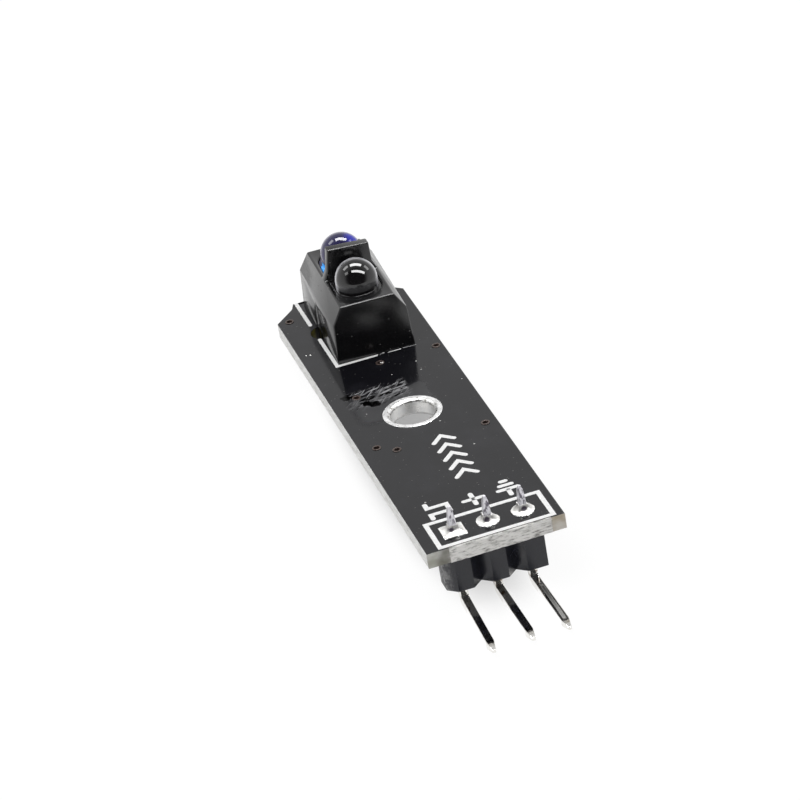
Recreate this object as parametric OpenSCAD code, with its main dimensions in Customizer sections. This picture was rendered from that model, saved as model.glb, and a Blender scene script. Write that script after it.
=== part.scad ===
// Line tracking sensor module: a reflective infrared sensor, its logic chip and a three-pin header
// on one narrow circuit board. The origin is on the axis of the mounting hole, in the board's
// underside. +Y runs along the board to the sensor, +Z stands up out of the side with the sensor.

/* [Circuit board] */
// Length of the board
board_l = 38.5; // [36:0.5:48]
// Width of the board
board_w = 10; // [9.6:0.1:14]
// Thickness of the board
board_t = 1.2; // [0.8:0.1:1.8]
// Size of the two cut corners at the sensor end
corner_cut = 2; // [0.5:0.1:2.4]
// Width of the rough strip where the board was snapped off its panel
snap_strip_w = 7.4; // [4:0.1:8.4]
// How far the strip stands out of the header end
snap_strip_out = 0.15; // [0.05:0.01:0.4]
// How far the strip left at the other end stands out of the sensor end
snap_tab_out = 0.45; // [0.05:0.05:0.6]
// How far each side of that strip leans in
snap_tab_lean = 0.3; // [0:0.05:0.5]
// Where the middle of the strip lies across the board
snap_strip_x = 0.3; // [-0.5:0.1:0.5]
// Thickness of the tinned copper on the board and in its holes
copper_t = 0.05; // [0.03:0.005:0.08]

/* [Mounting hole] */
// Bore of the plated hole, for a 3 mm screw
mount_bore = 3.2; // [2.8:0.1:3.6]
// Outer width of the ring round the hole
mount_ring_d = 4.36; // [4:0.02:5]
// From the header end of the board to the hole's axis
mount_from_header_end = 18.65; // [18:0.05:21]

/* [Vias] */
// Bore of a via
via_bore = 0.35; // [0.2:0.05:0.5]
// Outer width of a via's ring
via_ring_d = 0.65; // [0.6:0.05:0.8]

/* [Header] */
// Distance between pins
pin_pitch = 2.54; // [2.3:0.02:2.7]
// Side of the square pins
pin_w = 0.6; // [0.5:0.02:0.66]
// Length below the base over which a pin twists to the side
pin_twist_l = 0.4; // [0.2:0.05:0.8]
// How far the header sits off the middle of the board
header_x = 0.06; // [-0.3:0.02:0.3]
// From the header end of the board to the row of pins
pin_row_from_end = 1.85; // [1.7:0.05:2.6]
// Depth of the moulded base, along the board
base_d = 2.5; // [2.2:0.05:2.9]
// Height of the moulded base
base_h = 2.85; // [2:0.05:3.5]
// Width of the flat front on each segment of the base
base_front_w = 1.15; // [0.9:0.05:1.6]
// Depth of the breaking grooves between segments
base_groove = 0.55; // [0.3:0.05:0.7]
// Length missing from the end of the base where it was snapped off its strip
base_end_cut = 0.3; // [0.05:0.05:0.5]
// Height of the pin ends above the board
pin_tail = 2; // [1.6:0.1:3]
// From the underside of the base down to the middle of the bent legs
pin_drop = 1.4; // [1.3:0.05:3]
// From the row of pins out to the tips of the bent legs
pin_reach = 7.25; // [4:0.05:12]
// Inner radius of the bend
pin_bend_r = 0.2; // [0.1:0.05:0.5]
// Length of the taper at the tip of a leg
pin_tip_l = 0.9; // [0.4:0.05:1.4]
// Length of the taper at the upper end of a pin
pin_top_l = 0.35; // [0.1:0.05:0.6]
// Width of the tip as a part of the pin's width
pin_tip_part = 0.4; // [0.2:0.05:0.8]
// How far the output pin's leg is turned sideways, in degrees
output_splay = -2.2; // [-5:0.1:5]
// How far the supply pin's leg is turned sideways, in degrees
supply_splay = 0.3; // [-5:0.1:5]
// How far the ground pin's leg is turned sideways, in degrees
ground_splay = 0.8; // [-5:0.1:5]
// Bore of the plated holes for the pins
pin_hole_d = 1; // [0.96:0.02:1.1]
// Width of the pads round the pins
pin_pad_w = 1.66; // [1.5:0.02:1.9]
// Height of the solder that climbs each pin
pin_solder_h = 0.85; // [0.5:0.05:1.2]

/* [Sensor housing] */
// Length of the housing
sensor_l = 10.2; // [9.9:0.1:11]
// How far each end of the housing leans in between its foot and its flat top
end_lean = 0.26; // [0:0.02:0.4]
// Width of the housing at its foot
sensor_w = 5.95; // [5.7:0.05:6.4]
// Width of the housing where its slopes begin
shoulder_w = 5.65; // [5.2:0.05:5.8]
// Height of the point where the slopes begin
shoulder_h = 3.15; // [2.9:0.05:3.5]
// Width of the flat top
flat_w = 4.1; // [3.8:0.05:4.4]
// Height of the flat top
flat_h = 4.45; // [4.1:0.05:5]
// Thickness of the wall between the two lenses
partition_t = 0.75; // [0.6:0.05:0.95]
// Height of that wall above the board
partition_h = 6.9; // [5.8:0.05:7.2]
// Width of the wall's top edge
partition_top_w = 2.94; // [2:0.02:3.2]
// Height of the corners in the wall's sides
partition_knee_h = 5.2; // [4.9:0.05:5.6]
// Width of the wall at those corners
partition_knee_w = 3.46; // [3.3:0.02:3.8]
// Room at each side of a dome in the window that it looks out of
window_side = 0.15; // [0.13:0.01:0.2]
// Room between a dome and the rounded end of its window
window_end = 0.57; // [0.3:0.01:0.7]
// Width of the ledges under the window's edges
ledge_w = 0.2; // [0.1:0.05:0.3]
// Height of the ledge that holds a lens down
ledge_h = 3; // [2.6:0.05:3.3]
// From the far side of the housing to the sensor end of the board
sensor_inset = 0.37; // [0:0.01:1]
// How far the housing sits off the middle of the board
sensor_x = 0.4; // [-0.6:0.02:0.6]
// How far the housing is turned on the board, in degrees
sensor_turn = -1.9; // [-4:0.1:4]

/* [Snap hooks] */
// Width of a hook's leg
hook_w = 1.1; // [0.9:0.05:1.2]
// Thickness of a hook's leg
hook_t = 0.7; // [0.5:0.05:0.75]
// Width of the gap on each side of a leg
hook_gap = 0.3; // [0.15:0.05:0.4]
// Depth of the gap behind a leg
hook_relief = 0.15; // [0.1:0.05:0.2]
// Height of the point where a leg joins the housing
hook_root_h = 1.4; // [1:0.05:1.8]
// Height of the pointed part of the gaps above that
hook_point_h = 0.7; // [0.3:0.05:0.8]
// Height of a hook's barb
barb_h = 0.9; // [0.6:0.05:1.2]
// How far a barb reaches past the edge of its hole
barb_catch = 0.15; // [0.1:0.01:0.2]
// Play between a barb and the underside of the board
barb_play = 0.08; // [0.03:0.01:0.2]
// Width of the holes that the hooks pass through
hook_hole_d = 2; // [1.95:0.05:2.2]
// From a housing side in to the middle of its hook hole
hook_hole_in = 0.35; // [0.2:0.05:0.4]
// How far the hooks stand off the middle of the housing's length
hook_y = 0.3; // [-0.4:0.05:0.4]

/* [Lenses] */
// Width of each dome
dome_d = 3.15; // [2.8:0.05:3.25]
// Gap between a dome and the wall beside it
dome_gap = 0.15; // [0.05:0.01:0.25]
// How far the emitter's dome is off the middle of its lens block
emitter_shift = 0.02; // [-0.12:0.01:0.12]
// Height of a dome's centre above the flat top
dome_rise = 0.5; // [0.2:0.05:0.9]
// Depth of a lens block's top below the flat top
lens_sink = 0.12; // [0.05:0.01:0.4]
// Play between a lens and its window
lens_play = 0.06; // [0.03:0.01:0.08]
// From the board up to the foot of a lens
lens_foot_h = 0.6; // [0.3:0.05:1.2]
// Side of the square lens leads
lead_w = 0.5; // [0.4:0.02:0.54]
// Distance between the two leads of a lens
lead_pitch = 2.54; // [2.4:0.02:2.6]
// Length of the leads below the board
lead_tail = 1.7; // [1.4:0.05:2.4]
// Bore of the plated holes for the leads
lead_hole_d = 0.8; // [0.78:0.02:0.86]
// Width of the pads round the leads
lead_pad_d = 1.18; // [1.1:0.02:1.22]
// Height of the solder on the leads
lead_solder_h = 0.8; // [0.5:0.05:1.2]

/* [Logic chip] */
// Length of the chip's body
chip_l = 8.65; // [8.5:0.05:9.4]
// Width of the chip's body
chip_w = 3.9; // [3.6:0.05:4.2]
// Height of the chip's body
chip_h = 1.45; // [1.2:0.05:1.8]
// Gap between the chip's body and the copper
chip_standoff = 0.12; // [0.08:0.01:0.25]
// Lean of the chip's sides
chip_draft = 0.12; // [0.05:0.01:0.2]
// Distance across the chip's legs, toe to toe
chip_span = 6; // [5.8:0.1:6.8]
// Distance between the chip's legs
leg_pitch = 1.27; // [1.15:0.01:1.3]
// Width of a leg
leg_w = 0.42; // [0.3:0.02:0.5]
// Thickness of a leg
leg_t = 0.2; // [0.15:0.01:0.25]
// Length of a leg's foot
foot_l = 0.6; // [0.4:0.05:0.8]
// From the header end of the board to the middle of the chip
chip_from_end = 9.8; // [9.2:0.1:9.8]
// Width of the round mark beside the first leg
dot_d = 0.9; // [0.5:0.05:1.1]
// Depth of that mark
dot_deep = 0.1; // [0.05:0.01:0.2]

/* [Small parts] */
// Length of the resistors, the capacitor and the lamp
small_l = 2; // [1.7:0.05:2.2]
// Width of the resistors, the capacitor and the lamp
small_w = 1.25; // [0.9:0.05:1.4]
// Height of the resistors
resistor_h = 0.5; // [0.4:0.05:0.6]
// Height of the capacitor
capacitor_h = 0.85; // [0.6:0.05:1.2]
// Height of the lamp's foot
lamp_foot_h = 0.4; // [0.3:0.05:0.5]
// Height of the lamp's clear cap above its foot
lamp_cap_h = 0.42; // [0.3:0.02:0.7]
// Length of the metal at each end of a small part
end_l = 0.4; // [0.25:0.05:0.5]
// Thickness of that metal
end_t = 0.05; // [0.03:0.01:0.08]
// From the mounting hole to the row of small parts
row_from_mount = 6.4; // [5.2:0.1:7]
// Distance between the parts of that row
row_pitch = 1.95; // [1.9:0.05:2.1]
// From the mounting hole to the lamp
lamp_from_mount = 9.5; // [9.2:0.1:9.9]
// How far the lamp sits off the middle of the board
lamp_x = -1.9; // [-3:0.1:3]
// How far a copper land reaches past what stands on it
land_out = 0.4; // [0.2:0.05:0.45]
// How far a copper land reaches under a small part
land_in = 0.45; // [0.3:0.05:0.6]

/* [Hidden] */
$fn = 48;
// Fewer facets on small round holes, and on what fits them
function facets(bore) = bore < 0.6 ? 14 : bore < 1.5 ? 20 : $fn;
dome_facets = 36;
// The header end and the sensor end of the board
y_header = -mount_from_header_end;
y_sensor = y_header + board_l;
pin_row_y = y_header + pin_row_from_end;
sensor_y = y_sensor - sensor_inset - sensor_l / 2;
// Length that a cut runs past a face, so that it goes right through
past = 1;
// Vias: -1 or 1 for the nearer side of the board, the distance in from that side, and the distance
// from the header end or the sensor end
header_vias = [[1, 0.9, 14.35], [-1, 1.2, 15.2], [-1, 2.4, 14.2]];
sensor_vias = [[1, 0.55, 11.7], [1, 4.95, 11.85], [-1, 2, 15.8], [-1, 0.9, 2.2]];
// The chip's legs stand in two rows of seven
legs_a_row = 7;
// Places along the housing, from its middle: a dome, and the ends of its window and chamber
window_from = partition_t / 2;
dome_y = window_from + dome_gap + dome_d / 2;
window_to = dome_y + dome_d / 2 + window_end;
chamber_to = window_to + ledge_w;
// Widths of a window and of the chamber below it
window_w = dome_d + 2 * window_side;
chamber_w = window_w + 2 * ledge_w;
// Level of the header base's upper and lower faces
base_top = -copper_t;
base_foot = base_top - base_h;
// Half of the corner-to-corner width of a square wire, with room for solder round it
function solder_neck(wire_w) = wire_w * 0.75;
// Steps along the hollow face of a solder cone
solder_steps = 6;
// Heights of the chip's body
chip_low = copper_t + chip_standoff;
chip_mid = chip_low + chip_h / 2;
chip_top = chip_low + chip_h;

mask_colour = [0.2, 0.2, 0.21];
tin_colour = [0.82, 0.82, 0.84];
copper_colour = [0.55, 0.38, 0.3];
solder_colour = [0.8, 0.8, 0.83];
pin_colour = [0.75, 0.73, 0.66];
moulding_colour = [0.16, 0.16, 0.17];
housing_colour = [0.06, 0.06, 0.07];
emitter_colour = [0.2, 0.2, 0.75, 0.7];
detector_colour = [0.05, 0.05, 0.06];

// Places
module at_sensor() translate([sensor_x, sensor_y, board_t]) rotate([0, 0, sensor_turn]) children();
module at_pin(column) translate([header_x + column * pin_pitch, pin_row_y, 0]) children();
module at_each_pin() for (column = [-1:1]) at_pin(column) children();
module at_each_via() {
    for (v = header_vias) translate([v[0] * (board_w / 2 - v[1]), y_header + v[2], 0]) children();
    for (v = sensor_vias) translate([v[0] * (board_w / 2 - v[1]), y_sensor - v[2], 0]) children();
}
// A lens stands on each side of the partition: side -1 is the detector, 1 the emitter
module on_side(side) mirror([0, side < 0 ? 1 : 0, 0]) children();
module at_leads(side) for (x = [-1, 1]) translate([x * lead_pitch / 2, side * dome_y, 0]) children();
module at_each_lead() for (side = [-1, 1]) at_leads(side) children();
module at_each_hook() for (x = [-1, 1]) mirror([x < 0 ? 1 : 0, 0, 0])
    translate([sensor_w / 2, hook_y, 0]) children();
// On the underside, up is away from the board
module underside(x, y) translate([x, y, 0]) mirror([0, 0, 1]) children();
module in_row(place) underside((place - 1.5) * row_pitch, row_from_mount) rotate([0, 0, 90]) children();
module at_lamp() underside(lamp_x, lamp_from_mount) children();
module at_small_parts() {
    for (place = [0:3]) in_row(place) children();
    at_lamp() children();
}
module at_chip() underside(0, y_header + chip_from_end) children();
module at_each_leg() for (side = [0, 1], n = [0:legs_a_row - 1])
    mirror([side, 0, 0]) translate([0, (n - (legs_a_row - 1) / 2) * leg_pitch, 0]) children();

// Copper
module pad(width, square = false) {
    if (square) translate([-width / 2, -width / 2, 0]) cube([width, width, copper_t]);
    else cylinder(d = width, h = copper_t);
}
module plated_hole(bore, ring_d, square = false) difference() {
    $fn = facets(bore);
    union() {
        cylinder(d = bore + 2 * copper_t, h = board_t);
        translate([0, 0, board_t]) pad(ring_d, square);
        translate([0, 0, -copper_t]) pad(ring_d, square);
    }
    translate([0, 0, -past]) cylinder(d = bore, h = board_t + 2 * past);
}
module drilling(bore) translate([0, 0, -past])
    cylinder(d = bore + 2 * copper_t, h = board_t + 2 * past, $fn = facets(bore));

// Solder that fills a plated hole and climbs a square wire in a hollow cone. Up is the soldered side.
module solder_joint(bore, pad_d, wire_w, height) {
    neck = solder_neck(wire_w);
    rim = pad_d / 2;
    foot = board_t + copper_t;
    cone = [for (i = [0:solder_steps]) let (a = 90 * i / solder_steps)
        [rim - (rim - neck) * sin(a), foot + height * (1 - cos(a))]];
    difference() {
        union() {
            rotate_extrude($fn = facets(bore)) polygon(concat([[0, foot]], cone, [[0, foot + height]]));
            translate([0, 0, -copper_t]) cylinder(d = bore, h = foot + copper_t, $fn = facets(bore));
        }
        translate([-wire_w / 2, -wire_w / 2, -past]) cube([wire_w, wire_w, foot + height + 2 * past]);
    }
}

// Circuit board
// Place on the edge of the sensor end, on its cut corner or between the two
function sensor_edge(x) = [x, y_sensor - max(0, abs(x) + corner_cut - board_w / 2)];
// A cut corner's inner point, where the strip leaves it standing
function corner_point(side, strip_x) = side * strip_x < board_w / 2 - corner_cut ? [sensor_edge(side * (board_w / 2 - corner_cut))] : [];
module board_outline() {
    strip_from = snap_strip_x - snap_strip_w / 2;
    strip_to = snap_strip_x + snap_strip_w / 2;
    polygon([
        [-board_w / 2, y_header],
        [strip_from, y_header],
        [strip_from, y_header - snap_strip_out],
        [strip_to, y_header - snap_strip_out],
        [strip_to, y_header],
        [board_w / 2, y_header],
        sensor_edge(board_w / 2),
        each corner_point(1, strip_to),
        sensor_edge(strip_to),
        [strip_to - snap_tab_lean, y_sensor + snap_tab_out],
        [strip_from + snap_tab_lean, y_sensor + snap_tab_out],
        sensor_edge(strip_from),
        each corner_point(-1, strip_from),
        sensor_edge(-board_w / 2)
    ]);
}
module circuit_board() color(mask_colour) difference() {
    linear_extrude(board_t) board_outline();
    translate([0, 0, -past]) cylinder(d = mount_bore, h = board_t + 2 * past);
    at_each_via() drilling(via_bore);
    at_each_pin() drilling(pin_hole_d);
    at_sensor() {
        translate([0, 0, -board_t]) at_each_lead() drilling(lead_hole_d);
        at_each_hook() translate([-hook_hole_in, 0, -board_t - past])
            cylinder(d = hook_hole_d, h = board_t + 2 * past);
    }
}
// The tin in the mounting hole is a film on the board's own wall, so only its two rings are solids
module mounting_hole_rings() color(tin_colour) for (z = [-copper_t, board_t])
    translate([0, 0, z]) difference() {
        pad(mount_ring_d);
        translate([0, 0, -past]) cylinder(d = mount_bore, h = copper_t + 2 * past);
    }
module vias() color(copper_colour) at_each_via() plated_hole(via_bore, via_ring_d);

// Header
module base_outline() {
    end_x = 1.5 * pin_pitch;
    half = [
        for (column = [-1:1]) each [
            [(column - 0.5) * pin_pitch, base_d / 2 - base_groove],
            [column * pin_pitch - base_front_w / 2, base_d / 2],
            [column * pin_pitch + base_front_w / 2, base_d / 2]
        ],
        [end_x, base_d / 2 - base_groove]
    ];
    difference() {
        polygon(concat(half, [for (i = [len(half) - 1:-1:0]) [half[i].x, -half[i].y]]));
        translate([end_x - base_end_cut, -base_d]) square([base_end_cut + past, 2 * base_d]);
    }
}
module header_base() color(moulding_colour) difference() {
    at_pin(0) translate([0, 0, base_foot]) linear_extrude(base_h) base_outline();
    at_each_pin() translate([-pin_w / 2, -pin_w / 2, base_foot - past])
        cube([pin_w, pin_w, base_h + 2 * past]);
}
// The four-sided taper at the end of a pin, standing on the end of its shaft
module pin_point(length) {
    tip_w = pin_w * pin_tip_part;
    intersection() {
        rotate([90, 0, 0]) linear_extrude(pin_w, center = true)
            polygon([[-pin_w / 2, 0], [pin_w / 2, 0], [tip_w / 2, length], [-tip_w / 2, length]]);
        rotate([90, 0, 90]) linear_extrude(pin_w, center = true)
            polygon([[-pin_w / 2, 0], [pin_w / 2, 0], [tip_w / 2, length], [-tip_w / 2, length]]);
    }
}
module pin(column, splay) {
    bend_mid = pin_bend_r + pin_w / 2;
    shaft_top = board_t + pin_tail - pin_top_l;
    leg_z = base_foot - pin_drop;
    leg_l = pin_reach - bend_mid - pin_tip_l;
    color(pin_colour) at_pin(column) {
        translate([-pin_w / 2, -pin_w / 2, base_foot - pin_twist_l])
            cube([pin_w, pin_w, shaft_top - base_foot + pin_twist_l]);
        translate([0, 0, shaft_top]) pin_point(pin_top_l);
        rotate([0, 0, splay]) {
            translate([-pin_w / 2, -pin_w / 2, leg_z + bend_mid])
                cube([pin_w, pin_w, base_foot - leg_z - bend_mid - pin_twist_l / 2]);
            translate([0, -bend_mid, leg_z + bend_mid]) rotate([0, 90, 0])
                rotate_extrude(angle = 90) translate([pin_bend_r, -pin_w / 2]) square(pin_w);
            translate([-pin_w / 2, -bend_mid - leg_l, leg_z - pin_w / 2]) cube([pin_w, leg_l, pin_w]);
            translate([0, -bend_mid - leg_l, leg_z]) rotate([90, 0, 0]) pin_point(pin_tip_l);
        }
    }
}
module output_pin() pin(-1, output_splay);
module supply_pin() pin(0, supply_splay);
module ground_pin() pin(1, ground_splay);
module header_pads() color(tin_colour) {
    at_pin(-1) plated_hole(pin_hole_d, pin_pad_w, square = true);
    for (column = [0, 1]) at_pin(column) plated_hole(pin_hole_d, pin_pad_w);
}
module header_solder() color(solder_colour) at_each_pin()
    solder_joint(pin_hole_d, pin_pad_w, pin_w, pin_solder_h);

// Sensor housing
module housing_section() polygon([
    [-sensor_w / 2, 0], [sensor_w / 2, 0],
    [shoulder_w / 2, shoulder_h], [flat_w / 2, flat_h],
    [-flat_w / 2, flat_h], [-shoulder_w / 2, shoulder_h]
]);
module housing_profile() polygon([
    [-sensor_l / 2, 0], [sensor_l / 2, 0],
    [sensor_l / 2 - end_lean, flat_h], [end_lean - sensor_l / 2, flat_h]
]);
module partition_section() polygon([
    [-flat_w / 2, ledge_h], [flat_w / 2, ledge_h], [flat_w / 2, flat_h],
    [partition_knee_w / 2, partition_knee_h], [partition_top_w / 2, partition_h],
    [-partition_top_w / 2, partition_h], [-partition_knee_w / 2, partition_knee_h],
    [-flat_w / 2, flat_h]
]);
module across(length) rotate([90, 0, 0]) linear_extrude(length, center = true) children();
module along(length) rotate([90, 0, 90]) linear_extrude(length, center = true) children();
module block(width, from_y, to_y, from_z, to_z)
    translate([-width / 2, from_y, from_z]) cube([width, to_y - from_y, to_z - from_z]);
// A window's outline: straight sides from the partition on, and a half round outer end
module window_outline(play = 0) {
    round_y = window_to - window_w / 2;
    translate([0, round_y]) circle(d = window_w - 2 * play);
    translate([play - window_w / 2, window_from + play])
        square([window_w - 2 * play, round_y - window_from - play]);
}
// The two slots that free a hook's leg, pointed at the top
module hook_slots() for (y = [-1, 1]) translate([-hook_t, y * (hook_w + hook_gap) / 2, 0])
    rotate([90, 0, 90]) linear_extrude(hook_t + past) polygon([
        [-hook_gap / 2, -past], [hook_gap / 2, -past], [hook_gap / 2, hook_root_h],
        [-y * hook_gap / 2, hook_root_h + hook_point_h], [-hook_gap / 2, hook_root_h]
    ]);
// The gap behind a leg, so that it can bend
module hook_back() translate([-hook_t - hook_relief, -hook_w / 2 - hook_gap, -past])
    cube([hook_relief, hook_w + 2 * hook_gap, past + hook_root_h]);
module hook() {
    low = -board_t - barb_play;
    catch_x = hook_hole_d / 2 - hook_hole_in + barb_catch;
    translate([0, hook_w / 2, 0]) rotate([90, 0, 0]) linear_extrude(hook_w) polygon([
        [-hook_t, hook_root_h], [-hook_t, low - barb_h], [0, low - barb_h],
        [catch_x, low - barb_h / 3], [catch_x, low], [0, low], [0, 0],
        [(shoulder_w - sensor_w) / 2 * hook_root_h / shoulder_h, hook_root_h]
    ]);
}
module sensor_housing() color(housing_colour) at_sensor() {
    difference() {
        union() {
            intersection() {
                across(sensor_l) housing_section();
                along(sensor_w) housing_profile();
            }
            across(partition_t) partition_section();
        }
        for (side = [-1, 1]) on_side(side) {
            block(chamber_w, window_from, chamber_to, -past, ledge_h);
            translate([0, 0, ledge_h - past]) linear_extrude(flat_h) window_outline();
        }
        at_each_hook() {
            hook_slots();
            hook_back();
        }
    }
    at_each_hook() hook();
}

// Lenses
module lens(shift = 0) {
    dome_z = flat_h + dome_rise;
    block_top = flat_h - lens_sink;
    block(chamber_w - 2 * lens_play, window_from + lens_play, chamber_to - lens_play, lens_foot_h, ledge_h);
    translate([0, 0, ledge_h]) linear_extrude(block_top - ledge_h) window_outline(lens_play);
    translate([shift, dome_y, block_top])
        cylinder(d = dome_d, h = dome_z - block_top, $fn = dome_facets);
    translate([shift, dome_y, dome_z]) sphere(d = dome_d, $fn = dome_facets);
}
module leads(side) color(tin_colour) at_sensor() at_leads(side)
    translate([-lead_w / 2, -lead_w / 2, -board_t - lead_tail])
        cube([lead_w, lead_w, board_t + lead_tail + lens_foot_h]);
module emitter() color(emitter_colour) at_sensor() on_side(1) lens(emitter_shift);
module detector() color(detector_colour) at_sensor() on_side(-1) lens();
module emitter_leads() leads(1);
module detector_leads() leads(-1);
module sensor_pads() color(tin_colour) at_sensor() translate([0, 0, -board_t])
    at_each_lead() plated_hole(lead_hole_d, lead_pad_d);
module sensor_solder() color(solder_colour) at_sensor() at_each_lead() mirror([0, 0, 1])
    solder_joint(lead_hole_d, lead_pad_d, lead_w, lead_solder_h);

// Logic chip
module chip_section(width) polygon([
    [-width / 2 + chip_draft, chip_low], [width / 2 - chip_draft, chip_low], [width / 2, chip_mid],
    [width / 2 - chip_draft, chip_top], [-width / 2 + chip_draft, chip_top], [-width / 2, chip_mid]
]);
module logic_chip() color(moulding_colour) at_chip() difference() {
    intersection() {
        across(chip_l) chip_section(chip_w);
        rotate([0, 0, 90]) across(chip_w) chip_section(chip_l);
    }
    translate([chip_w / 2 - dot_d, chip_l / 2 - dot_d, chip_top - dot_deep]) cylinder(d = dot_d, h = past);
}
// One leg leaves the middle of the body's side, drops and ends in a flat foot
module leg_section() {
    toe = chip_span / 2;
    heel = toe - foot_l;
    knee = (chip_w / 2 + heel) / 2;
    polygon([
        [chip_w / 2, chip_mid + leg_t / 2], [knee, chip_mid + leg_t / 2], [heel, copper_t + leg_t],
        [toe, copper_t + leg_t], [toe, copper_t], [heel - leg_t, copper_t],
        [knee - leg_t, chip_mid - leg_t / 2], [chip_w / 2, chip_mid - leg_t / 2]
    ]);
}
module logic_chip_legs() color(tin_colour) at_chip() at_each_leg() across(leg_w) leg_section();

// Small parts
module ceramic(height) translate([end_t - small_l / 2, -small_w / 2, copper_t + end_t])
    cube([small_l - 2 * end_t, small_w, height - 2 * end_t]);
module part_ends(height) difference() {
    for (side = [0, 1]) mirror([side, 0, 0])
        translate([small_l / 2 - end_l, -small_w / 2, copper_t]) cube([end_l, small_w, height]);
    ceramic(height);
}
module emitter_resistor() color(moulding_colour) in_row(0) ceramic(resistor_h);
module detector_resistor() color(moulding_colour) in_row(1) ceramic(resistor_h);
module lamp_resistor() color(moulding_colour) in_row(2) ceramic(resistor_h);
module supply_capacitor() color([0.62, 0.5, 0.38]) in_row(3) ceramic(capacitor_h);
module signal_lamp() color([0.9, 0.9, 0.85]) at_lamp() {
    ceramic(lamp_foot_h);
    translate([0, 0, copper_t + lamp_foot_h - end_t]) linear_extrude(lamp_cap_h)
        square([small_l - 2 * end_l, small_w], center = true);
}
module small_part_ends() color(tin_colour) {
    for (place = [0:2]) in_row(place) part_ends(resistor_h);
    in_row(3) part_ends(capacitor_h);
    at_lamp() part_ends(lamp_foot_h);
}
module surface_lands() color(tin_colour) {
    at_small_parts() for (side = [0, 1]) mirror([side, 0, 0])
        translate([small_l / 2 - land_in, -small_w / 2, 0]) cube([land_in + land_out, small_w, copper_t]);
    at_chip() at_each_leg() translate([chip_span / 2 - foot_l - land_out, -leg_w / 2, 0])
        cube([foot_l + 2 * land_out, leg_w, copper_t]);
}
// A hollow wedge of solder between a land and the end of what stands on it
module wedge(width, height) across(width) polygon([
    [0, copper_t], [land_out, copper_t], [land_out / 3, copper_t + height / 3], [0, copper_t + height]
]);
module surface_solder() color(solder_colour) {
    for (place = [0:3]) in_row(place) part_wedges(place < 3 ? resistor_h : capacitor_h);
    at_lamp() part_wedges(lamp_foot_h);
    at_chip() at_each_leg() translate([chip_span / 2, 0, 0]) wedge(leg_w, leg_t);
}
module part_wedges(height) for (side = [0, 1]) mirror([side, 0, 0])
    translate([small_l / 2, 0, 0]) wedge(small_w, height * 2 / 3);

circuit_board();
mounting_hole_rings();
vias();
header_base();
output_pin();
supply_pin();
ground_pin();
header_pads();
header_solder();
sensor_housing();
emitter();
detector();
emitter_leads();
detector_leads();
sensor_pads();
sensor_solder();
logic_chip();
logic_chip_legs();
emitter_resistor();
detector_resistor();
lamp_resistor();
supply_capacitor();
signal_lamp();
small_part_ends();
surface_lands();
surface_solder();
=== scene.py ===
"""Looks of a line tracking sensor module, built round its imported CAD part.

The part's frame has its origin on the mounting hole's axis in the board's underside, +Y along the
board to the sensor and +Z out of the side with the sensor. Sizes here are millimetres: a mesh is made
in millimetres and becomes metres when it is added as a piece.
"""

import logging
import math
from dataclasses import dataclass
from enum import Enum
from functools import partial, reduce
from typing import Callable, Iterable, Sequence

import bmesh
import bpy
from mathutils import Matrix, Vector, noise


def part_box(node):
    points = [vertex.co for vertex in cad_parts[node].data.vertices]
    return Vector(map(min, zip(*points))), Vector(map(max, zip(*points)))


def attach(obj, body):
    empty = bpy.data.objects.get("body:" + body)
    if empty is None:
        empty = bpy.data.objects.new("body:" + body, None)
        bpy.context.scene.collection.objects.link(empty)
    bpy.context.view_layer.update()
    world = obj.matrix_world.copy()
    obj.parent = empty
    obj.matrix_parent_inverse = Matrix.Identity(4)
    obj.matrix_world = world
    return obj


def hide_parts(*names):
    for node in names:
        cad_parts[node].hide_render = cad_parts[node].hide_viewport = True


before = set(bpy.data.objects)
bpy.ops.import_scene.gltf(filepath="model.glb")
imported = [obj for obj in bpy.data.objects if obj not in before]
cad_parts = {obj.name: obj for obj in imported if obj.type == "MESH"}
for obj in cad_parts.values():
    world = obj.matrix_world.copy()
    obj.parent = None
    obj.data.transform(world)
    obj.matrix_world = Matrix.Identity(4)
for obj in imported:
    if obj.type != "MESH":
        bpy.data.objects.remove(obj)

log = logging.getLogger("sensor_module")

MM = 0.001
BODY = "root"

Span = tuple[float, float]
Point = tuple[float, float, float]
Colour = tuple[float, float, float]
Loop = list[Span]
Mesh = bpy.types.Mesh
Shape = bmesh.types.BMesh
Socket = bpy.types.NodeSocket
Value = Socket | float | Sequence[float]

EVEN: Point = (1.0, 1.0, 1.0)
BLACK: Colour = (0.0, 0.0, 0.0)

# Millimetres: what counts as no length, and how deep solder sits in its pad.
TINY = 1e-4
SOLDER_SINK = 0.01


# Node trees


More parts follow.
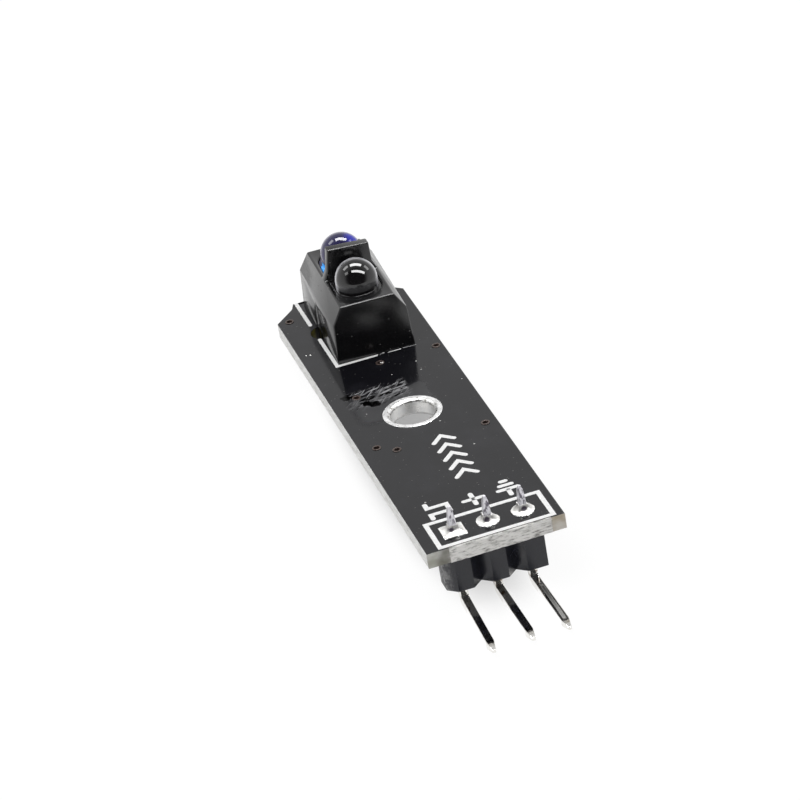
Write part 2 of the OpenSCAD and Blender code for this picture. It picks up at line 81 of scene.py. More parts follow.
class Wiring:
    """Adds the nodes of one tree and joins them."""

    def __init__(self, tree: bpy.types.NodeTree) -> None:
        """Starts on an empty tree.

        Args:
            tree: The material's or modifier's node tree.
        """
        self.tree = tree

    def add(self, kind: str, inputs: dict | None = None, **settings: object) -> bpy.types.Node:
        """Adds a node.

        Args:
            kind: Blender's name of the node type.
            inputs: Socket name or number to a value or to the socket that feeds it.
            **settings: The node's own properties.

        Returns:
            The new node.
        """
        node = self.tree.nodes.new(kind)
        for key, value in settings.items():
            setattr(node, key, value)
        for key, value in (inputs or {}).items():
            self.feed(node.inputs[key], value)
        return node

    def out(self, kind: str, inputs: dict | None = None, **settings: object) -> Socket:
        """Adds a node as add does, and returns its first output."""
        return self.add(kind, inputs, **settings).outputs[0]

    def feed(self, socket: Socket, value: Value) -> None:
        """Joins a socket to an input, or sets the input's own value.

        Args:
            socket: The input.
            value: The socket that feeds it, or a plain value.
        """
        if isinstance(value, Socket):
            self.tree.links.new(value, socket)
        else:
            socket.default_value = value

    def math(self, operation: str, first: Value, second: Value = 0.0) -> Socket:
        """Returns the result of a Math node on two values."""
        return self.out("ShaderNodeMath", {0: first, 1: second}, operation=operation)

    def times(self, *values: Value) -> Value:
        """Returns the product of some values."""
        return reduce(partial(self.math, "MULTIPLY"), values)

    def most(self, *values: Value) -> Value:
        """Returns the largest of some values."""
        return reduce(partial(self.math, "MAXIMUM"), values)

    def less(self, value: Value, taken: Value) -> Socket:
        """Returns a value less what is taken from it."""
        return self.math("SUBTRACT", value, taken)

    def step(self, value: Socket, low: Value, high: Value, start: Value = 0.0, end: Value = 1.0) -> Socket:
        """Returns a value mapped smoothly from low..high to start..end, and held outside."""
        inputs = {"Value": value, "From Min": low, "From Max": high, "To Min": start, "To Max": end}
        return self.out("ShaderNodeMapRange", inputs, interpolation_type="SMOOTHSTEP")


class Shading(Wiring):
    """The shader of one material, with its places measured in millimetres on the piece."""

    def __init__(self, name: str) -> None:
        """Starts an empty material.

        Args:
            name: The material's name.
        """
        self.material = bpy.data.materials.new(name)
        self.material.use_nodes = True
        self.material.node_tree.nodes.clear()
        super().__init__(self.material.node_tree)
        place = self.add("ShaderNodeTexCoord").outputs["Object"]
        self.place = self.stretched(place, (1 / MM, 1 / MM, 1 / MM))

    def stretched(self, place: Socket, by: Sequence[float]) -> Socket:
        """Returns a place multiplied along each axis."""
        return self.out("ShaderNodeVectorMath", {0: place, 1: tuple(by)}, operation="MULTIPLY")

    def axis(self, letter: str) -> Socket:
        """Returns the X, Y or Z of the place, in millimetres."""
        return self.add("ShaderNodeSeparateXYZ", {0: self.place}).outputs[letter]

    def length(self, place: Socket) -> Socket:
        """Returns how far a place is from the origin."""
        return self.add("ShaderNodeVectorMath", {0: place}, operation="LENGTH").outputs["Value"]

    def away(self, point: Point) -> Socket:
        """Returns the distance from a point, in millimetres."""
        inputs = {0: self.place, 1: point}
        return self.add("ShaderNodeVectorMath", inputs, operation="DISTANCE").outputs["Value"]

    def noise(self, place: Socket, size: float, detail: float, seed: float) -> Socket:
        """Returns a noise around 0.5, between 0 and 1.

        Args:
            place: Where it is read.
            size: Width of one cloud in millimetres.
            detail: Octaves of finer noise.
            seed: Which of many such noises.
        """
        inputs = {"Vector": place, "W": seed, "Scale": 1 / size, "Detail": detail, "Roughness": 0.6}
        return self.out("ShaderNodeTexNoise", inputs, noise_dimensions="4D")

    def clouds(self, size: float, detail: float = 3, stretch: Point = EVEN, seed: float = 0) -> Socket:
        """Returns a soft noise around 0.5, with the stretch telling how much finer it is along each axis."""
        return self.noise(self.stretched(self.place, stretch), size, detail, seed)

    def blend(self, share: Value, first: Value, second: Value) -> Socket:
        """Returns the first colour going over to the second as the share goes from 0 to 1."""
        inputs = {0: share}
        for key, colour in ((6, first), (7, second)):
            inputs[key] = colour if isinstance(colour, Socket) else (*colour, 1)
        return self.add("ShaderNodeMix", inputs, data_type="RGBA").outputs[2]

    def covered(self, colour: Value, *layers: tuple[Value, Value]) -> Value:
        """Returns a colour under some layers, each given as its share and its own colour."""
        for share, layer in layers:
            colour = self.blend(share, colour, layer)
        return colour

    def relief(self, height: Socket, depth: float) -> Socket:
        """Returns the normal of a fine relief.

        Args:
            height: The relief, between 0 and 1.
            depth: How deep it is in millimetres.
        """
        return self.out("ShaderNodeBump", {"Height": height, "Distance": depth * MM, "Strength": 1.0})

    def close(self, inputs: dict[str, Value]) -> bpy.types.Material:
        """Ends the tree in one shader with the given inputs and returns the material."""
        shader = self.out("ShaderNodeBsdfPrincipled", inputs)
        self.add("ShaderNodeOutputMaterial", {"Surface": shader})
        return self.material


class Recipe(Wiring):
    """A geometry tree with named sizes, which ends in plain meshes with one material."""

    def __init__(self, name: str, sizes: Sequence[str]) -> None:
        """Starts a tree that takes a mesh and some sizes.

        Args:
            name: The tree's name.
            sizes: The names of its inputs, in millimetres.
        """
        super().__init__(bpy.data.node_groups.new(name, "GeometryNodeTree"))
        face = self.tree.interface
        face.new_socket("Geometry", in_out="INPUT", socket_type="NodeSocketGeometry")
        face.new_socket("Material", in_out="INPUT", socket_type="NodeSocketMaterial")
        for size in sizes:
            face.new_socket(size, in_out="INPUT", socket_type="NodeSocketFloat")
        face.new_socket("Geometry", in_out="OUTPUT", socket_type="NodeSocketGeometry")
        self.given = self.add("NodeGroupInput").outputs

    def section(self, width: Value, height: Value, rounding: Value | None = None) -> Socket:
        """Returns a rectangular section, with rounded corners where a radius is given."""
        flat = self.out("GeometryNodeCurvePrimitiveQuadrilateral", {"Width": width, "Height": height})
        if rounding is None:
            return flat
        inputs = {"Curve": flat, "Radius": rounding, "Count": 3}
        return self.out("GeometryNodeFilletCurve", inputs, mode="POLY")

    def ring(self, radius: Value, section: Socket) -> Socket:
        """Returns a section swept round a circle."""
        path = self.out("GeometryNodeCurvePrimitiveCircle", {"Resolution": 32, "Radius": radius})
        return self.out("GeometryNodeCurveToMesh", {"Curve": path, "Profile Curve": section})

    def raised(self, geometry: Socket, height: Value) -> Socket:
        """Returns a geometry moved up."""
        place = self.out("ShaderNodeCombineXYZ", {"Z": height})
        return self.out("GeometryNodeTransform", {"Geometry": geometry, "Translation": place})

    def close(self, geometry: Socket) -> None:
        """Makes the copies real, gives them the material and ends the tree."""
        real = self.out("GeometryNodeRealizeInstances", {0: geometry})
        inputs = {"Geometry": real, "Material": self.given["Material"]}
        self.add("NodeGroupOutput", {0: self.out("GeometryNodeSetMaterial", inputs)})

    def run(self, mesh: Mesh, material: bpy.types.Material, sizes: dict[str, float]) -> Mesh:
        """Runs the tree once on a mesh.

        Args:
            mesh: What the tree starts from, in millimetres.
            material: The finish of the result.
            sizes: The value of each named input.

        Returns:
            The finished mesh, in millimetres.
        """
        carrier = bpy.data.objects.new(self.tree.name, mesh)
        bpy.context.scene.collection.objects.link(carrier)
        modifier = carrier.modifiers.new("recipe", "NODES")
        modifier.node_group = self.tree
        given = {**sizes, "Material": material}
        for item in self.tree.interface.items_tree:
            if item.in_out == "INPUT" and item.name in given:
                modifier[item.identifier] = given[item.name]
        result = baked(carrier)
        result.materials.clear()
        result.materials.append(material)
        return result


# Meshes


def baked(carrier: bpy.types.Object) -> Mesh:
    """Returns an object's mesh with its modifiers applied, and deletes the object."""
    graph = bpy.context.evaluated_depsgraph_get()
    result = carrier.evaluated_get(graph)
    mesh = bpy.data.meshes.new_from_object(result, preserve_all_data_layers=True, depsgraph=graph)
    bpy.data.objects.remove(carrier)
    return mesh


def modified(mesh: Mesh, kind: str, **settings: object) -> Mesh:
    """Applies a modifier to a mesh.

    Args:
        mesh: The mesh that it starts from.
        kind: The modifier's type.
        **settings: Its settings.

    Returns:
        The new mesh.
    """
    carrier = bpy.data.objects.new("carrier", mesh)
    bpy.context.scene.collection.objects.link(carrier)
    modifier = carrier.modifiers.new(kind, kind)
    for key, value in settings.items():
        setattr(modifier, key, value)
    return baked(carrier)


def meshed(shape: Shape) -> Mesh:
    """Returns a shape as a new mesh, and frees the shape."""
    mesh = bpy.data.meshes.new("shape")
    shape.to_mesh(mesh)
    shape.free()
    return mesh


def with_bmesh(mesh: Mesh, change: Callable[[Shape], None]) -> Mesh:
    """Runs a change on a mesh as a bmesh and returns the mesh."""
    shape = bmesh.new()
    shape.from_mesh(mesh)
    change(shape)
    shape.to_mesh(mesh)
    shape.free()
    return mesh


def welded(shape: Shape) -> None:
    """Merges a shape's doubles and turns its faces outward."""
    bmesh.ops.remove_doubles(shape, verts=shape.verts, dist=TINY)
    bmesh.ops.recalc_face_normals(shape, faces=shape.faces)


def shaded(mesh: Mesh, crease: float) -> Mesh:
    """Shades a mesh smooth, but keeps wide faces flat and sharp edges crisp.

    Args:
        mesh: A merged mesh.
        crease: Edges sharper than this many degrees stay crisp.

    Returns:
        The mesh with its normals weighted by the area of the faces.
    """
    mesh.shade_smooth()
    mesh.set_sharp_from_angle(angle=math.radians(crease))
    return modified(mesh, "WEIGHTED_NORMAL", keep_sharp=True, weight=90)


def joined(meshes: Iterable[Mesh]) -> Mesh:
    """Returns several meshes as one, with the materials of the first."""
    shape = bmesh.new()
    materials = []
    for mesh in meshes:
        materials = materials or list(mesh.materials)
        shape.from_mesh(mesh)
    whole = meshed(shape)
    for material in materials:
        whole.materials.append(material)
    return whole


def flat_mesh(loops: Sequence[Loop], low: float, high: float, rounding: float, steps: int = 2) -> Mesh:
    """Makes a flat plate of any outline, with its edges rounded.

    Args:
        loops: Closed outlines in the XY plane, the holes among them.
        low: Height of the underside.
        high: Height of the top.
        rounding: Radius of the edges.
        steps: Points on each rounded edge.

    Returns:
        The plate, closed and merged.
    """
    curve = bpy.data.curves.new("outline", "CURVE")
    curve.dimensions = "2D"
    curve.fill_mode = "BOTH"
    curve.extrude = (high - low) / 2 - rounding
    curve.bevel_depth = rounding
    curve.bevel_resolution = steps
    curve.offset = -rounding
    for loop in loops:
        spline = curve.splines.new("POLY")
        spline.points.add(len(loop) - 1)
        for point, (x, y) in zip(spline.points, loop):
            point.co = (x, y, 0, 1)
        spline.use_cyclic_u = True
    carrier = bpy.data.objects.new("outline", curve)
    mesh = bpy.data.meshes.new_from_object(carrier)
    bpy.data.objects.remove(carrier)
    mesh.transform(Matrix.Translation((0, 0, (low + high) / 2)))
    return with_bmesh(mesh, welded)


def round_ways(count: int) -> Loop:
    """Returns the directions from a middle to some even steps round it."""
    return [(math.cos(math.tau * n / count), math.sin(math.tau * n / count)) for n in range(count)]


def circle(x: float, y: float, radius: float, count: int = 48) -> Loop:
    """Returns a round outline with some points on it."""
    return [(x + radius * way_x, y + radius * way_y) for way_x, way_y in round_ways(count)]


def box_loop(west: float, east: float, south: float, north: float) -> Loop:
    """Returns the outline of a rectangle."""
    return [(west, south), (east, south), (east, north), (west, north)]


def ball(shape: Shape, radius: float, steps: tuple[int, int]) -> list[bmesh.types.BMVert]:
    """Adds a ball round the origin to a shape and returns its points."""
    return bmesh.ops.create_uvsphere(shape, u_segments=steps[0], v_segments=steps[1], radius=radius)["verts"]


def walled(shape: Shape, rows: Sequence[Sequence[bmesh.types.BMVert]]) -> None:
    """Joins each closed row of points to the next one by a ring of faces."""
    for low, high in zip(rows, rows[1:]):
        for k in range(len(low)):
            shape.faces.new((low[k - 1], low[k], high[k], high[k - 1]))


def revolved(profile: Loop, steps: int = 96) -> Mesh:
    """Turns a closed outline round the Z axis.

    Args:
        profile: The outline's radius and height at each point.
        steps: Faces round the axis.

    Returns:
        The closed mesh.
    """
    shape = bmesh.new()
    rows = [[shape.verts.new((r * x, r * y, z)) for r, z in profile] for x, y in round_ways(steps)]
    walled(shape, [rows[-1], *rows])
    bmesh.ops.recalc_face_normals(shape, faces=shape.faces)
    return meshed(shape)


def ribbon(points: Sequence[Span], width: float, end_steps: int = 4, mitre_limit: float = 0.3) -> Loop:
    """Makes the outline of a drawn line with mitred corners and round ends.

    Args:
        points: The line's middle, from one end to the other.
        width: The line's width.
        end_steps: Points on half of a round end.
        mitre_limit: The smaller it is, the further a sharp corner may reach.

    Returns:
        The closed outline.
    """
    line = [Vector(point) for point in points]
    sides = {1: [], -1: []}
    for here, point in enumerate(line):
        into = (point - line[here - 1]).normalized() if here else (line[1] - point).normalized()
        out = (line[here + 1] - point).normalized() if here + 1 < len(line) else into
        middle = (into + out).normalized()
        across = Vector((-middle.y, middle.x)) * width / 2 / max(mitre_limit, middle.dot(into))
        for side in sides:
            sides[side].append(point + side * across)
    loop = []
    for end, side in ((-1, 1), (0, -1)):
        loop += sides[1] if side > 0 else sides[-1][::-1]
        towards = (line[-1] - line[-2]) if end else (line[0] - line[1])
        start = math.atan2(towards.y, towards.x) + math.pi / 2
        for step in range(1, 2 * end_steps):
            angle = start - math.pi * step / (2 * end_steps)
            loop.append(line[end] + Vector((math.cos(angle), math.sin(angle))) * width / 2)
    return [(point[0], point[1]) for point in loop]


def softened(node: str, rounding: float, steps: int = 3, angle: float = 30.0) -> Mesh:
    """Makes a copy of a CAD node's mesh with its edges rounded.

    Args:
        node: The CAD node.
        rounding: Radius of the edges in millimetres.
        steps: Faces across each rounded edge.
        angle: Edges sharper than this many degrees are rounded.

    Returns:
        The copy in millimetres.
    """
    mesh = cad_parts[node].data.copy()
    mesh.transform(Matrix.Scale(1 / MM, 4))
    mesh.materials.clear()

    def clean(shape: Shape) -> None:
        """Merges the loose triangles and joins the ones that lie in one plane."""
        bmesh.ops.remove_doubles(shape, verts=shape.verts, dist=10 * TINY)
        flat = math.radians(0.5)
        bmesh.ops.dissolve_limit(shape, angle_limit=flat, verts=shape.verts, edges=shape.edges)

    with_bmesh(mesh, clean)
    mesh.shade_smooth()
    result = modified(
        mesh, "BEVEL", width=rounding, segments=steps, limit_method="ANGLE", angle_limit=math.radians(angle),
        use_clamp_overlap=False, harden_normals=True, miter_outer="MITER_ARC",
    )
    result.materials.clear()
    return result


def add_piece(
    name: str, mesh: Mesh, finishes: Sequence["Finish"] = (), replaced: str = ""
) -> None:
    """Adds a finished piece to the part.

    Args:
        name: The piece's name.
        mesh: Its mesh in millimetres, in the part's frame.
        finishes: Its materials, where the mesh doesn't hold them yet.
        replaced: The CAD node that it stands for, if it does.
    """
    mesh.name = name
    mesh.transform(Matrix.Scale(MM, 4))
    for finish in finishes:
        mesh.materials.append(finish.material())
    piece = bpy.data.objects.new(name, mesh)
    bpy.context.scene.collection.objects.link(piece)
    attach(piece, BODY)
    if replaced:
        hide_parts(replaced)
    log.info("%s: %d faces", name, len(mesh.polygons))


# Patterns


class Pattern:
    """Something that covers part of a surface."""

    def share(self, shading: Shading) -> Value:
        """Returns 1 where it covers the surface and 0 elsewhere."""
        raise NotImplementedError


@dataclass(frozen=True)
class Patches(Pattern):
    """Soft patches of a noise: they fade in between two of its values, from a least share on."""

    size: float
    start: float
    end: float
    seed: float = 0
    detail: float = 3
    stretch: Point = EVEN
    least: float = 0.0

    def share(self, shading: Shading) -> Value:
        """Returns 1 inside a patch and the least share outside."""
        clouds = shading.clouds(self.size, self.detail, self.stretch, self.seed)
        return shading.step(clouds, self.start, self.end, self.least, 1.0)


@dataclass(frozen=True)
class Streaks(Pattern):
    """Streaks drawn out along one direction of the board, given in degrees from the X axis."""

    angle: float
    width: float
    length: float
    seed: float
    start: float
    end: float

    def share(self, shading: Shading) -> Value:
        """Returns 1 on a streak and 0 beside it."""
        inputs = {"Vector": shading.place, "Angle": math.radians(-self.angle)}
        turned = shading.out("ShaderNodeVectorRotate", inputs, rotation_type="Z_AXIS")
        place = shading.stretched(turned, (self.width / self.length, 1, 1))
        drawn = shading.noise(place, self.width, detail=3, seed=self.seed)
        return shading.step(drawn, self.start, self.end)


@dataclass(frozen=True)
class Spots(Pattern):
    """Scattered round spots, with the radius of the largest ones."""

    spacing: float
    radius: float
    seed: float
    chance: Span = (0.55, 1.0)
    edge: float = 0.25

    def share(self, shading: Shading) -> Value:
        """Returns 1 inside a spot and 0 outside."""
        inputs = {0: shading.place, 1: (self.seed, self.seed, 0)}
        place = shading.out("ShaderNodeVectorMath", inputs, operation="ADD")
        inputs = {"Vector": place, "Scale": 1 / self.spacing}
        cells = shading.add("ShaderNodeTexVoronoi", inputs, feature="F1").outputs
        chance = shading.out("ShaderNodeSeparateColor", {0: cells["Color"]})
        radius = self.radius / self.spacing
        reach = shading.times(shading.step(chance, *self.chance), radius)
        return shading.step(shading.less(reach, cells["Distance"]), 0.0, self.edge * radius)


@dataclass(frozen=True)
class Blotches(Pattern):
    """Uneven round blotches at chosen places, with their reach and how far their rims stray."""

    places: tuple[Point, ...]
    size: float
    stray: float
    core: float = 0.6
    seed: float = 21

    def share(self, shading: Shading) -> Value:
        """Returns 1 inside a blotch and 0 outside."""
        wander = shading.times(shading.less(shading.clouds(self.size, seed=self.seed), 0.5), 2 * self.stray)
        reaches = [shading.math("ADD", shading.away(place), wander) for place in self.places]
        return shading.most(*(shading.step(reach, self.size, self.core * self.size) for reach in reaches))


@dataclass(frozen=True)
class Zone(Pattern):
    """A zone of the board's upper face with an uneven, soft edge."""

    span_x: Span
    span_y: Span
    edge: float
    face_z: Span = (1.0, 1.1)
    stray: float = 0.9
    stray_size: float = 0.8
    stray_seed: float = 4
    fade: float = 0.7
    over: float = 0.45

    def share(self, shading: Shading) -> Value:
        """Returns 1 inside the zone and 0 outside."""
        stray = shading.times(shading.clouds(self.stray_size, seed=self.stray_seed), self.stray)
        inside = shading.step(shading.axis("Z"), *self.face_z)
        for axis, (low, high) in (("X", self.span_x), ("Y", self.span_y)):
            place = shading.math("ADD", shading.axis(axis), stray)
            near = shading.step(place, low, low + self.fade + self.edge)
            far = shading.step(place, high + self.over, high + self.over - self.edge)
            inside = shading.times(inside, near, far)
        return inside


# Finishes


# Where shade is painted dark at the feet of the header's pins, just in front of each pin.
FOOT_SHADE_PLACES = ((-2.66, -17.05, 1.5), (-0.09, -17.07, 1.5), (2.6, -17.07, 1.5))


@dataclass(frozen=True)
class Finish:
    """A surface with clouds of a second colour, uneven gloss and a fine grain."""

    name: str
    colour: Colour
    second: Colour
    cloud_size: float = 1.0
    cloud_span: Span = (0.45, 0.75)
    gloss_span: Span = (0.3, 0.7)
    roughness: float = 0.4
    rougher: float = 0.1
    grain_size: float = 0.1
    grain_depth: float = 0.004
    grain_seed: float = 5
    metallic: float = 0.0
    ior: float = 1.5
    transmission: float = 0.0
    stretch: Point = EVEN

    def material(self) -> bpy.types.Material:
        """Returns the finish's material, made once."""
        return bpy.data.materials.get(self.name) or self.made()

    def made(self) -> bpy.types.Material:
        """Builds the material."""
        shading = Shading(self.name)
        clouds = shading.clouds(self.cloud_size, detail=4, stretch=self.stretch)
        grain = shading.clouds(self.grain_size, detail=2, stretch=self.stretch, seed=self.grain_seed)
        plain = shading.blend(shading.step(clouds, *self.cloud_span), self.colour, self.second)
        rough = shading.step(clouds, *self.gloss_span, self.roughness, self.roughness + self.rougher)
        inputs = {
            "Base Color": plain,
            "Roughness": rough,
            "Normal": shading.relief(grain, self.grain_depth),
            "Metallic": self.metallic,
            "IOR": self.ior,
            "Transmission Weight": self.transmission,
        }
        return shading.close({**inputs, **self.marks(shading, clouds, plain, rough)})

    def marks(self, shading: Shading, clouds: Socket, plain: Socket, rough: Socket) -> dict[str, Value]:
        """Returns the shader's inputs that this finish's own marks change.

        Args:
            shading: Makes the nodes.
            clouds: The noise of the plain surface.
            plain: The plain surface's colour.
            rough: The plain surface's roughness.
        """
        return {}


@dataclass(frozen=True)
class MaskFinish(Finish):
    """The board's glossy mask, with dust, and dull and streaked where flux was wiped over it, and with a dark
    reflection painted black in patches.
    """

    film: Zone = Zone((-4.2, 2.6), (-0.6, 4.35), 0.9)
    film_roughness: float = 0.42
    film_colour: Colour = (0.008, 0.008, 0.0105)
    wiped: Zone = Zone((-3.7, 1.0), (2.5, 5.1), 0.4)
    steep: Streaks = Streaks(51.0, 0.2, 3.0, 2, 0.49, 0.64)
    level: Streaks = Streaks(14.0, 0.24, 1.8, 7, 0.48, 0.62)
    patchy: Patches = Patches(0.7, 0.4, 0.56, seed=17, least=0.35)
    wiped_roughness: float = 0.5
    wiped_colour: Colour = (0.27, 0.27, 0.28)
    # Black streaks and blotches that paint the dark reflection of the glossy mask.
    painted_dark_streaks: Streaks = Streaks(14.0, 0.5, 1.2, 12, 0.52, 0.57)
    painted_dark_spots: Blotches = Blotches(
        ((-3.7, 4.4, 1.2), (-3.1, 4.3, 1.2), (-2.5, 2.9, 1.2), (-2.0, 2.5, 1.2)), 0.42, 0.4
    )
    painted_dark_colour: Colour = (0.002, 0.002, 0.002)
    specks: Spots = Spots(0.3, 0.055, 11)
    speck_colour: Colour = (0.09, 0.09, 0.085)
    dust: Spots = Spots(1.1, 0.075, 3)
    dust_roughness: float = 0.6
    dust_colour: Colour = (0.5, 0.5, 0.48)

    def marks(self, shading: Shading, clouds: Socket, plain: Socket, rough: Socket) -> dict[str, Value]:
        """Returns the inputs that the film, the wiped streaks, the painted dark reflection and the dust
        change.
        """
        film, wiped = self.film.share(shading), self.wiped.share(shading)
        spots, patchy = self.painted_dark_spots.share(shading), self.patchy.share(shading)
        streaks = shading.most(self.steep.share(shading), self.level.share(shading))
        streaks = shading.most(0, shading.times(streaks, shading.less(wiped, spots), patchy))
        # Painted dark reflection: the mask turns black, metallic and glossy there.
        painted_dark = shading.most(shading.times(wiped, self.painted_dark_streaks.share(shading)), spots)
        specks, dust = self.specks.share(shading), self.dust.share(shading)
        return {
            "Base Color": shading.covered(
                plain, (film, self.film_colour), (painted_dark, self.painted_dark_colour), (streaks, self.wiped_colour),
                (specks, self.speck_colour), (dust, self.dust_colour),
            ),
            "Metallic": shading.times(painted_dark, shading.less(1, streaks)),
            "Roughness": shading.most(
                rough, shading.times(film, shading.less(1, painted_dark), self.film_roughness),
                shading.times(streaks, self.wiped_roughness), shading.times(dust, self.dust_roughness),
            ),
        }


@dataclass(frozen=True)
class EdgeFinish(Finish):
    """The laminate's sawn edges, in other colours at the header end, to its left and at its corner."""

    end_y: Span = (-18.5, -18.62)
    end_colour: Colour = (0.34, 0.28, 0.19)
    weathered: Patches = Patches(1.5, 0.3, 0.6, seed=8, detail=2, least=0.45)
    left_x: Span = (1.0, -1.0)
    left_colour: Colour = (0.15, 0.145, 0.12)
    corner_x: Span = (-3.9, -4.7)
    corner_colour: Colour = (0.33, 0.33, 0.28)

    def marks(self, shading: Shading, clouds: Socket, plain: Socket, rough: Socket) -> dict[str, Value]:
        """Returns the colour with the header end's in place."""
        end = shading.times(shading.step(shading.axis("Y"), *self.end_y), self.weathered.share(shading))
        left = shading.step(shading.axis("X"), *self.left_x)
        corner = shading.step(shading.axis("X"), *self.corner_x)
        left_colour = shading.blend(corner, self.left_colour, self.corner_colour)
        end_colour = shading.blend(left, self.end_colour, left_colour)
        return {"Base Color": shading.blend(end, plain, end_colour)}


@dataclass(frozen=True)
class HoleFinish(Finish):
    """The mounting hole's tin: bright on its rings, and darker and spotted in the bore, where the darker tin
    is partly painted shade inside the hole.
    """

    bright: Span = (1.84, 1.92)
    bore_span: Span = (0.35, 0.65)
    bore_shade_colour: Colour = (0.66, 0.655, 0.64)
    spots: Patches = Patches(0.28, 0.5, 0.62, seed=6)
    spot_z: Span = (0.95, 1.1)
    spot_colour: Colour = (0.2, 0.195, 0.18)

    def marks(self, shading: Shading, clouds: Socket, plain: Socket, rough: Socket) -> dict[str, Value]:
        """Returns the colour with the bore's in place."""
        ring = shading.step(shading.length(shading.stretched(shading.place, (1, 1, 0))), *self.bright)
        spots = shading.times(self.spots.share(shading), shading.step(shading.axis("Z"), *self.spot_z))
        # The bore's darker tin is partly painted shade inside the hole.
        bore = shading.blend(shading.step(clouds, *self.bore_span), self.bore_shade_colour, self.second)
        return {"Base Color": shading.covered(bore, (spots, self.spot_colour), (ring, self.colour))}


@dataclass(frozen=True)
class SolderFinish(Finish):
    """Bright solder, with shade painted dark at the wires' feet."""

    painted_dark: Blotches = Blotches(FOOT_SHADE_PLACES, 0.3, 0.05)
    foot_shade_colour: Colour = (0.03, 0.02, 0.04)

    def marks(self, shading: Shading, clouds: Socket, plain: Socket, rough: Socket) -> dict[str, Value]:
        """Returns the inputs that the flux changes."""
        # Painted shade: dark and less metallic in front of each wire's foot.
        painted_dark = self.painted_dark.share(shading)
        return {
            "Base Color": shading.blend(painted_dark, plain, self.foot_shade_colour),
            "Metallic": shading.less(self.metallic, painted_dark),
        }


@dataclass(frozen=True)
class BaseFinish(Finish):
    """The header's plastic, pale and torn on the end where it was broken off its row."""

    torn_x: Span = (-3.2, -3.76)
    torn: Patches = Patches(0.35, 0.4, 0.6, seed=3, detail=4)
    torn_colour: Colour = (0.26, 0.26, 0.26)
    torn_dark: Colour = (0.07, 0.07, 0.075)
    torn_roughness: float = 0.7

    def marks(self, shading: Shading, clouds: Socket, plain: Socket, rough: Socket) -> dict[str, Value]:
        """Returns the inputs that the torn end changes."""
        end = shading.step(shading.axis("X"), *self.torn_x)
        torn = shading.blend(self.torn.share(shading), self.torn_dark, self.torn_colour)
        return {
            "Base Color": shading.blend(end, plain, torn),
            "Roughness": shading.most(rough, shading.times(end, self.torn_roughness)),
        }


@dataclass(frozen=True)
class PinFinish(Finish):
    """A pin's plating: bright on the leg, stained at the bend and dull above the board."""

    tail_z: Span = (1.0, 1.3)
    tail_colour: Colour = (0.74, 0.73, 0.77)
    tail_dark: Colour = (0.13, 0.12, 0.15)
    tail_patches: Patches = Patches(0.16, 0.5, 0.62, seed=2, stretch=(1, 1, 0.3))
    tail_metallic: float = 0.6
    tail_roughness: float = 0.35
    stain_z: Span = (-4.2, -3.7)
    stains: Patches = Patches(0.35, 0.5, 0.6, seed=9)
    stain_colour: Colour = (0.16, 0.09, 0.05)
    run_from: Span = (-18.2, -18.7)
    run_to: Span = (-23.3, -22.9)
    top_z: Span = (-4.12, -4.04)
    top_roughness: float = 0.11
    side_colour: Colour = (1.0, 1.0, 1.0)
    streak_x: float = 2.67
    streak_w: float = 0.15
    streak_y: Span = (-18.7, -22.6)
    streak_dim: Colour = (0.07, 0.07, 0.068)
    streak_pale: Colour = (0.22, 0.22, 0.21)
    streak_roughness: float = 0.45
    painted_dark: Blotches = Blotches(FOOT_SHADE_PLACES, 0.3, 0.08)
    foot_shade_colour: Colour = (0.02, 0.014, 0.03)

    def marks(self, shading: Shading, clouds: Socket, plain: Socket, rough: Socket) -> dict[str, Value]:
        """Returns the inputs that the tail, the stains, the leg's pale sides, its streak and the shade
        painted at its foot change.
        """
        height, along = shading.axis("Z"), shading.axis("Y")
        tail, upper = shading.step(height, *self.tail_z), shading.step(height, *self.top_z)
        stained = shading.times(self.stains.share(shading), shading.step(height, *self.stain_z))
        run = shading.times(shading.step(along, *self.run_from), shading.step(along, *self.run_to))
        side, top = shading.times(run, shading.less(1, upper)), shading.times(run, upper)
        off = shading.math("ABSOLUTE", shading.less(shading.axis("X"), self.streak_x))
        streak = shading.times(top, shading.step(off, self.streak_w, self.streak_w / 2))
        pale = shading.blend(shading.step(along, *self.streak_y), self.streak_dim, self.streak_pale)
        leg = shading.covered(plain, (stained, self.stain_colour), (side, self.side_colour), (streak, pale))
        # Painted shade: the tail turns dark and less metallic in front of each pin's foot.
        painted_dark = self.painted_dark.share(shading)
        dull = shading.blend(self.tail_patches.share(shading), self.tail_colour, self.tail_dark)
        metal = shading.step(height, *self.tail_z, self.metallic, self.tail_metallic)
        metal = shading.less(metal, shading.times(painted_dark, self.tail_metallic))
        return {
            "Base Color": shading.blend(tail, leg, shading.blend(painted_dark, dull, self.foot_shade_colour)),
            "Metallic": shading.less(metal, streak),
            "Roughness": shading.most(
                rough, shading.times(top, self.top_roughness), shading.times(streak, self.streak_roughness),
                shading.times(tail, self.tail_roughness),
            ),
        }


@dataclass(frozen=True)
class MouldedFinish(Finish):
    """A glossy moulded plastic with a little dust on it."""

    dust: Spots = Spots(0.33, 0.075, 2)
    dust_roughness: float = 0.6
    dust_colour: Colour = (0.05, 0.05, 0.048)

    def marks(self, shading: Shading, clouds: Socket, plain: Socket, rough: Socket) -> dict[str, Value]:
        """Returns the inputs that the dust changes."""
        dust = self.dust.share(shading)
        return {
            "Base Color": shading.blend(dust, plain, self.dust_colour),
            "Roughness": shading.most(rough, shading.times(dust, self.dust_roughness)),
        }


